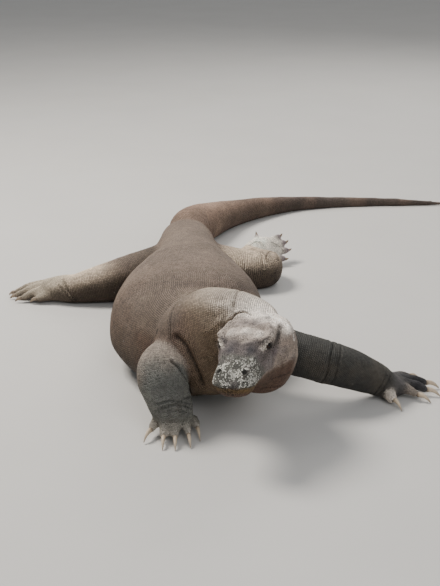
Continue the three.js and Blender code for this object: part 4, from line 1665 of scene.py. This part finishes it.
def add_scales(mesh, coat, tone, most):
    """The scales as joined meshes, in the tones of the skin beneath them."""
    beneath = nearest_of(coat.point, layout_of(mesh))
    half = scale_sizes(coat)
    raised = np.array([spacing_of(name)[2] for name in PART_NAMES])[coat.part]
    rng = np.random.default_rng(5)
    tint = np.stack([rng.random(len(coat)), pale_edges(coat)], axis=1)
    shade = pebbled(coat, tone[beneath], rng)
    rise = half * 2 * raised * (0.85 + 0.3 * rng.random(len(coat)))
    material = scale_material()
    for name, group in coat_groups(coat, most):
        looks = (half[group], rise[group], shade[group], tint[group])
        piece = bead_object(name, coat.pick(group), *looks)
        placed(piece, material, "skin")
        print(name, len(group), "scales", len(piece.data.polygons), "faces")


class KOMODO_OT_skin(bpy.types.Operator):
    """Build the one skin over every part of flesh, and the scales that lie on it"""

    bl_idname = "komodo.skin"
    bl_label = "Skin and scales"

    def execute(self, context):
        mesh = build_skin()
        coat = lay_coat(mesh, 1.0)
        tone = paint_skin(mesh, coat)
        mesh.shade_smooth()
        placed(in_scene("skin", mesh), skin_material(), "skin", *FLESH_NODES)
        add_scales(mesh, coat, tone, context.scene.komodo_sizes.largest_piece)
        print("skin faces", len(mesh.polygons), "scales", len(coat))
        return {"FINISHED"}


class KOMODO_OT_eyes(bpy.types.Operator):
    """Set a finely made eye in each socket"""

    bl_idname = "komodo.eyes"
    bl_label = "Eyes"

    def execute(self, context):
        material = eye_material()
        placed(eye_object(1), material, "eye", "eye_right")
        placed(eye_object(-1), material, "eye", "eye_left")
        return {"FINISHED"}


class KOMODO_OT_claws(bpy.types.Operator):
    """Give each toe its curved claw"""

    bl_idname = "komodo.claws"
    bl_label = "Claws"

    def execute(self, context):
        material = claw_material()
        for limb in LIMBS.values():
            nodes = [f"{limb['foot']}_claw_{i + 1}" for i in range(len(limb["toes"]))]
            placed(claws_object(limb), material, "claw", *nodes)
        return {"FINISHED"}


# Each lamp's name, place, aim, size, power and colour, in metres and watts.
LAMPS = [
    ("key", (-1.9, 0.5, 3.0), (0, -0.1, 0.1), 1.3, 150.0, (1.0, 0.95, 0.88)),
    ("front", (0.9, -3.0, 2.3), (0, -0.3, 0.1), 2.2, 42.0, (0.97, 0.98, 1.0)),
    ("back", (1.2, 3.0, 2.4), (0, 0.3, 0.1), 2.0, 45.0, (1.0, 0.97, 0.93)),
]
SKY_COLOUR, SKY_STRENGTH = (0.86, 0.88, 0.9, 1), 0.38
FLOOR_HALF, FLOOR_TONES = 14.0, ((0.60, 0.585, 0.56), (0.66, 0.645, 0.62))
NEAREST_SEEN, FARTHEST_SEEN = 0.05, 60.0  # from the camera, in metres


def area_light(name, place, target, size_m, power, tint):
    """A round lamp that faces its target."""
    light = bpy.data.lights.new(name, "AREA")
    light.shape, light.size, light.energy, light.color = "DISK", size_m, power, tint
    lamp = in_scene(name, light)
    lamp.location = place
    lamp.rotation_euler = (Vector(target) - Vector(place)).to_track_quat("-Z", "Y").to_euler()


def add_floor():
    """A plain pale floor, which is no part of the model."""
    far = FLOOR_HALF
    corners = [(-far, -far, 0), (far, -far, 0), (far, far, 0), (-far, far, 0)]
    floor = new_object("floor", corners, [(0, 1, 2, 3)])
    g = Graph("pale_floor")
    tone = g.mix(g.noise(3.0), *FLOOR_TONES)
    floor.data.materials.append(g.finish(Base_Color=tone, Roughness=0.85))


def add_sky():
    """Even pale light from all round."""
    world = bpy.data.worlds.new("studio")
    world.use_nodes = True
    sky = world.node_tree.nodes["Background"]
    sky.inputs["Color"].default_value = SKY_COLOUR
    sky.inputs["Strength"].default_value = SKY_STRENGTH
    bpy.context.scene.world = world


def add_camera():
    """The camera, upright and looking a little down."""
    lens = bpy.data.cameras.new("camera")
    lens.lens, lens.sensor_fit, lens.sensor_height = LENS, "VERTICAL", SENSOR
    lens.clip_start, lens.clip_end = NEAREST_SEEN, FARTHEST_SEEN
    camera = in_scene("camera", lens)
    camera.location = to_frame(CAMERA_PLACE)
    camera.rotation_euler = (math.radians(90 - CAMERA_PITCH), 0, 0)
    bpy.context.scene.camera = camera


class KOMODO_OT_stage(bpy.types.Operator):
    """Add the plain pale floor, the soft studio light and the camera"""

    bl_idname = "komodo.stage"
    bl_label = "Stage"

    def execute(self, context):
        add_floor()
        for lamp in LAMPS:
            area_light(*lamp)
        add_sky()
        add_camera()
        return {"FINISHED"}


OPERATORS = (KOMODO_OT_skin, KOMODO_OT_eyes, KOMODO_OT_claws, KOMODO_OT_stage)


class KOMODO_PT_panel(bpy.types.Panel):
    """Lists the pieces, sizes and colours of the komodo dragon"""

    bl_idname = "KOMODO_PT_panel"
    bl_label = "Komodo dragon"
    bl_space_type = "VIEW_3D"
    bl_region_type = "UI"
    bl_category = "Komodo"

    def draw(self, context):
        layout = self.layout
        for operator in OPERATORS:
            layout.operator(operator.bl_idname)
        for group in (context.scene.komodo_sizes, context.scene.komodo_colours):
            box = layout.box()
            for name in group.__annotations__:
                box.prop(group, name)


CLASSES = (KomodoSizes, KomodoColours, *OPERATORS, KOMODO_PT_panel)


def register():
    """Adds the classes and the scene's sizes and colours."""
    for cls in CLASSES:
        bpy.utils.register_class(cls)
    bpy.types.Scene.komodo_sizes = PointerProperty(type=KomodoSizes)
    bpy.types.Scene.komodo_colours = PointerProperty(type=KomodoColours)


def unregister():
    """Takes away what register adds."""
    del bpy.types.Scene.komodo_colours
    del bpy.types.Scene.komodo_sizes
    for cls in reversed(CLASSES):
        bpy.utils.unregister_class(cls)


def main():
    """Builds every piece and the stage."""
    register()
    for operator in OPERATORS:
        group, name = operator.bl_idname.split(".")
        getattr(getattr(bpy.ops, group), name)()


if __name__ == "__main__":
    main()
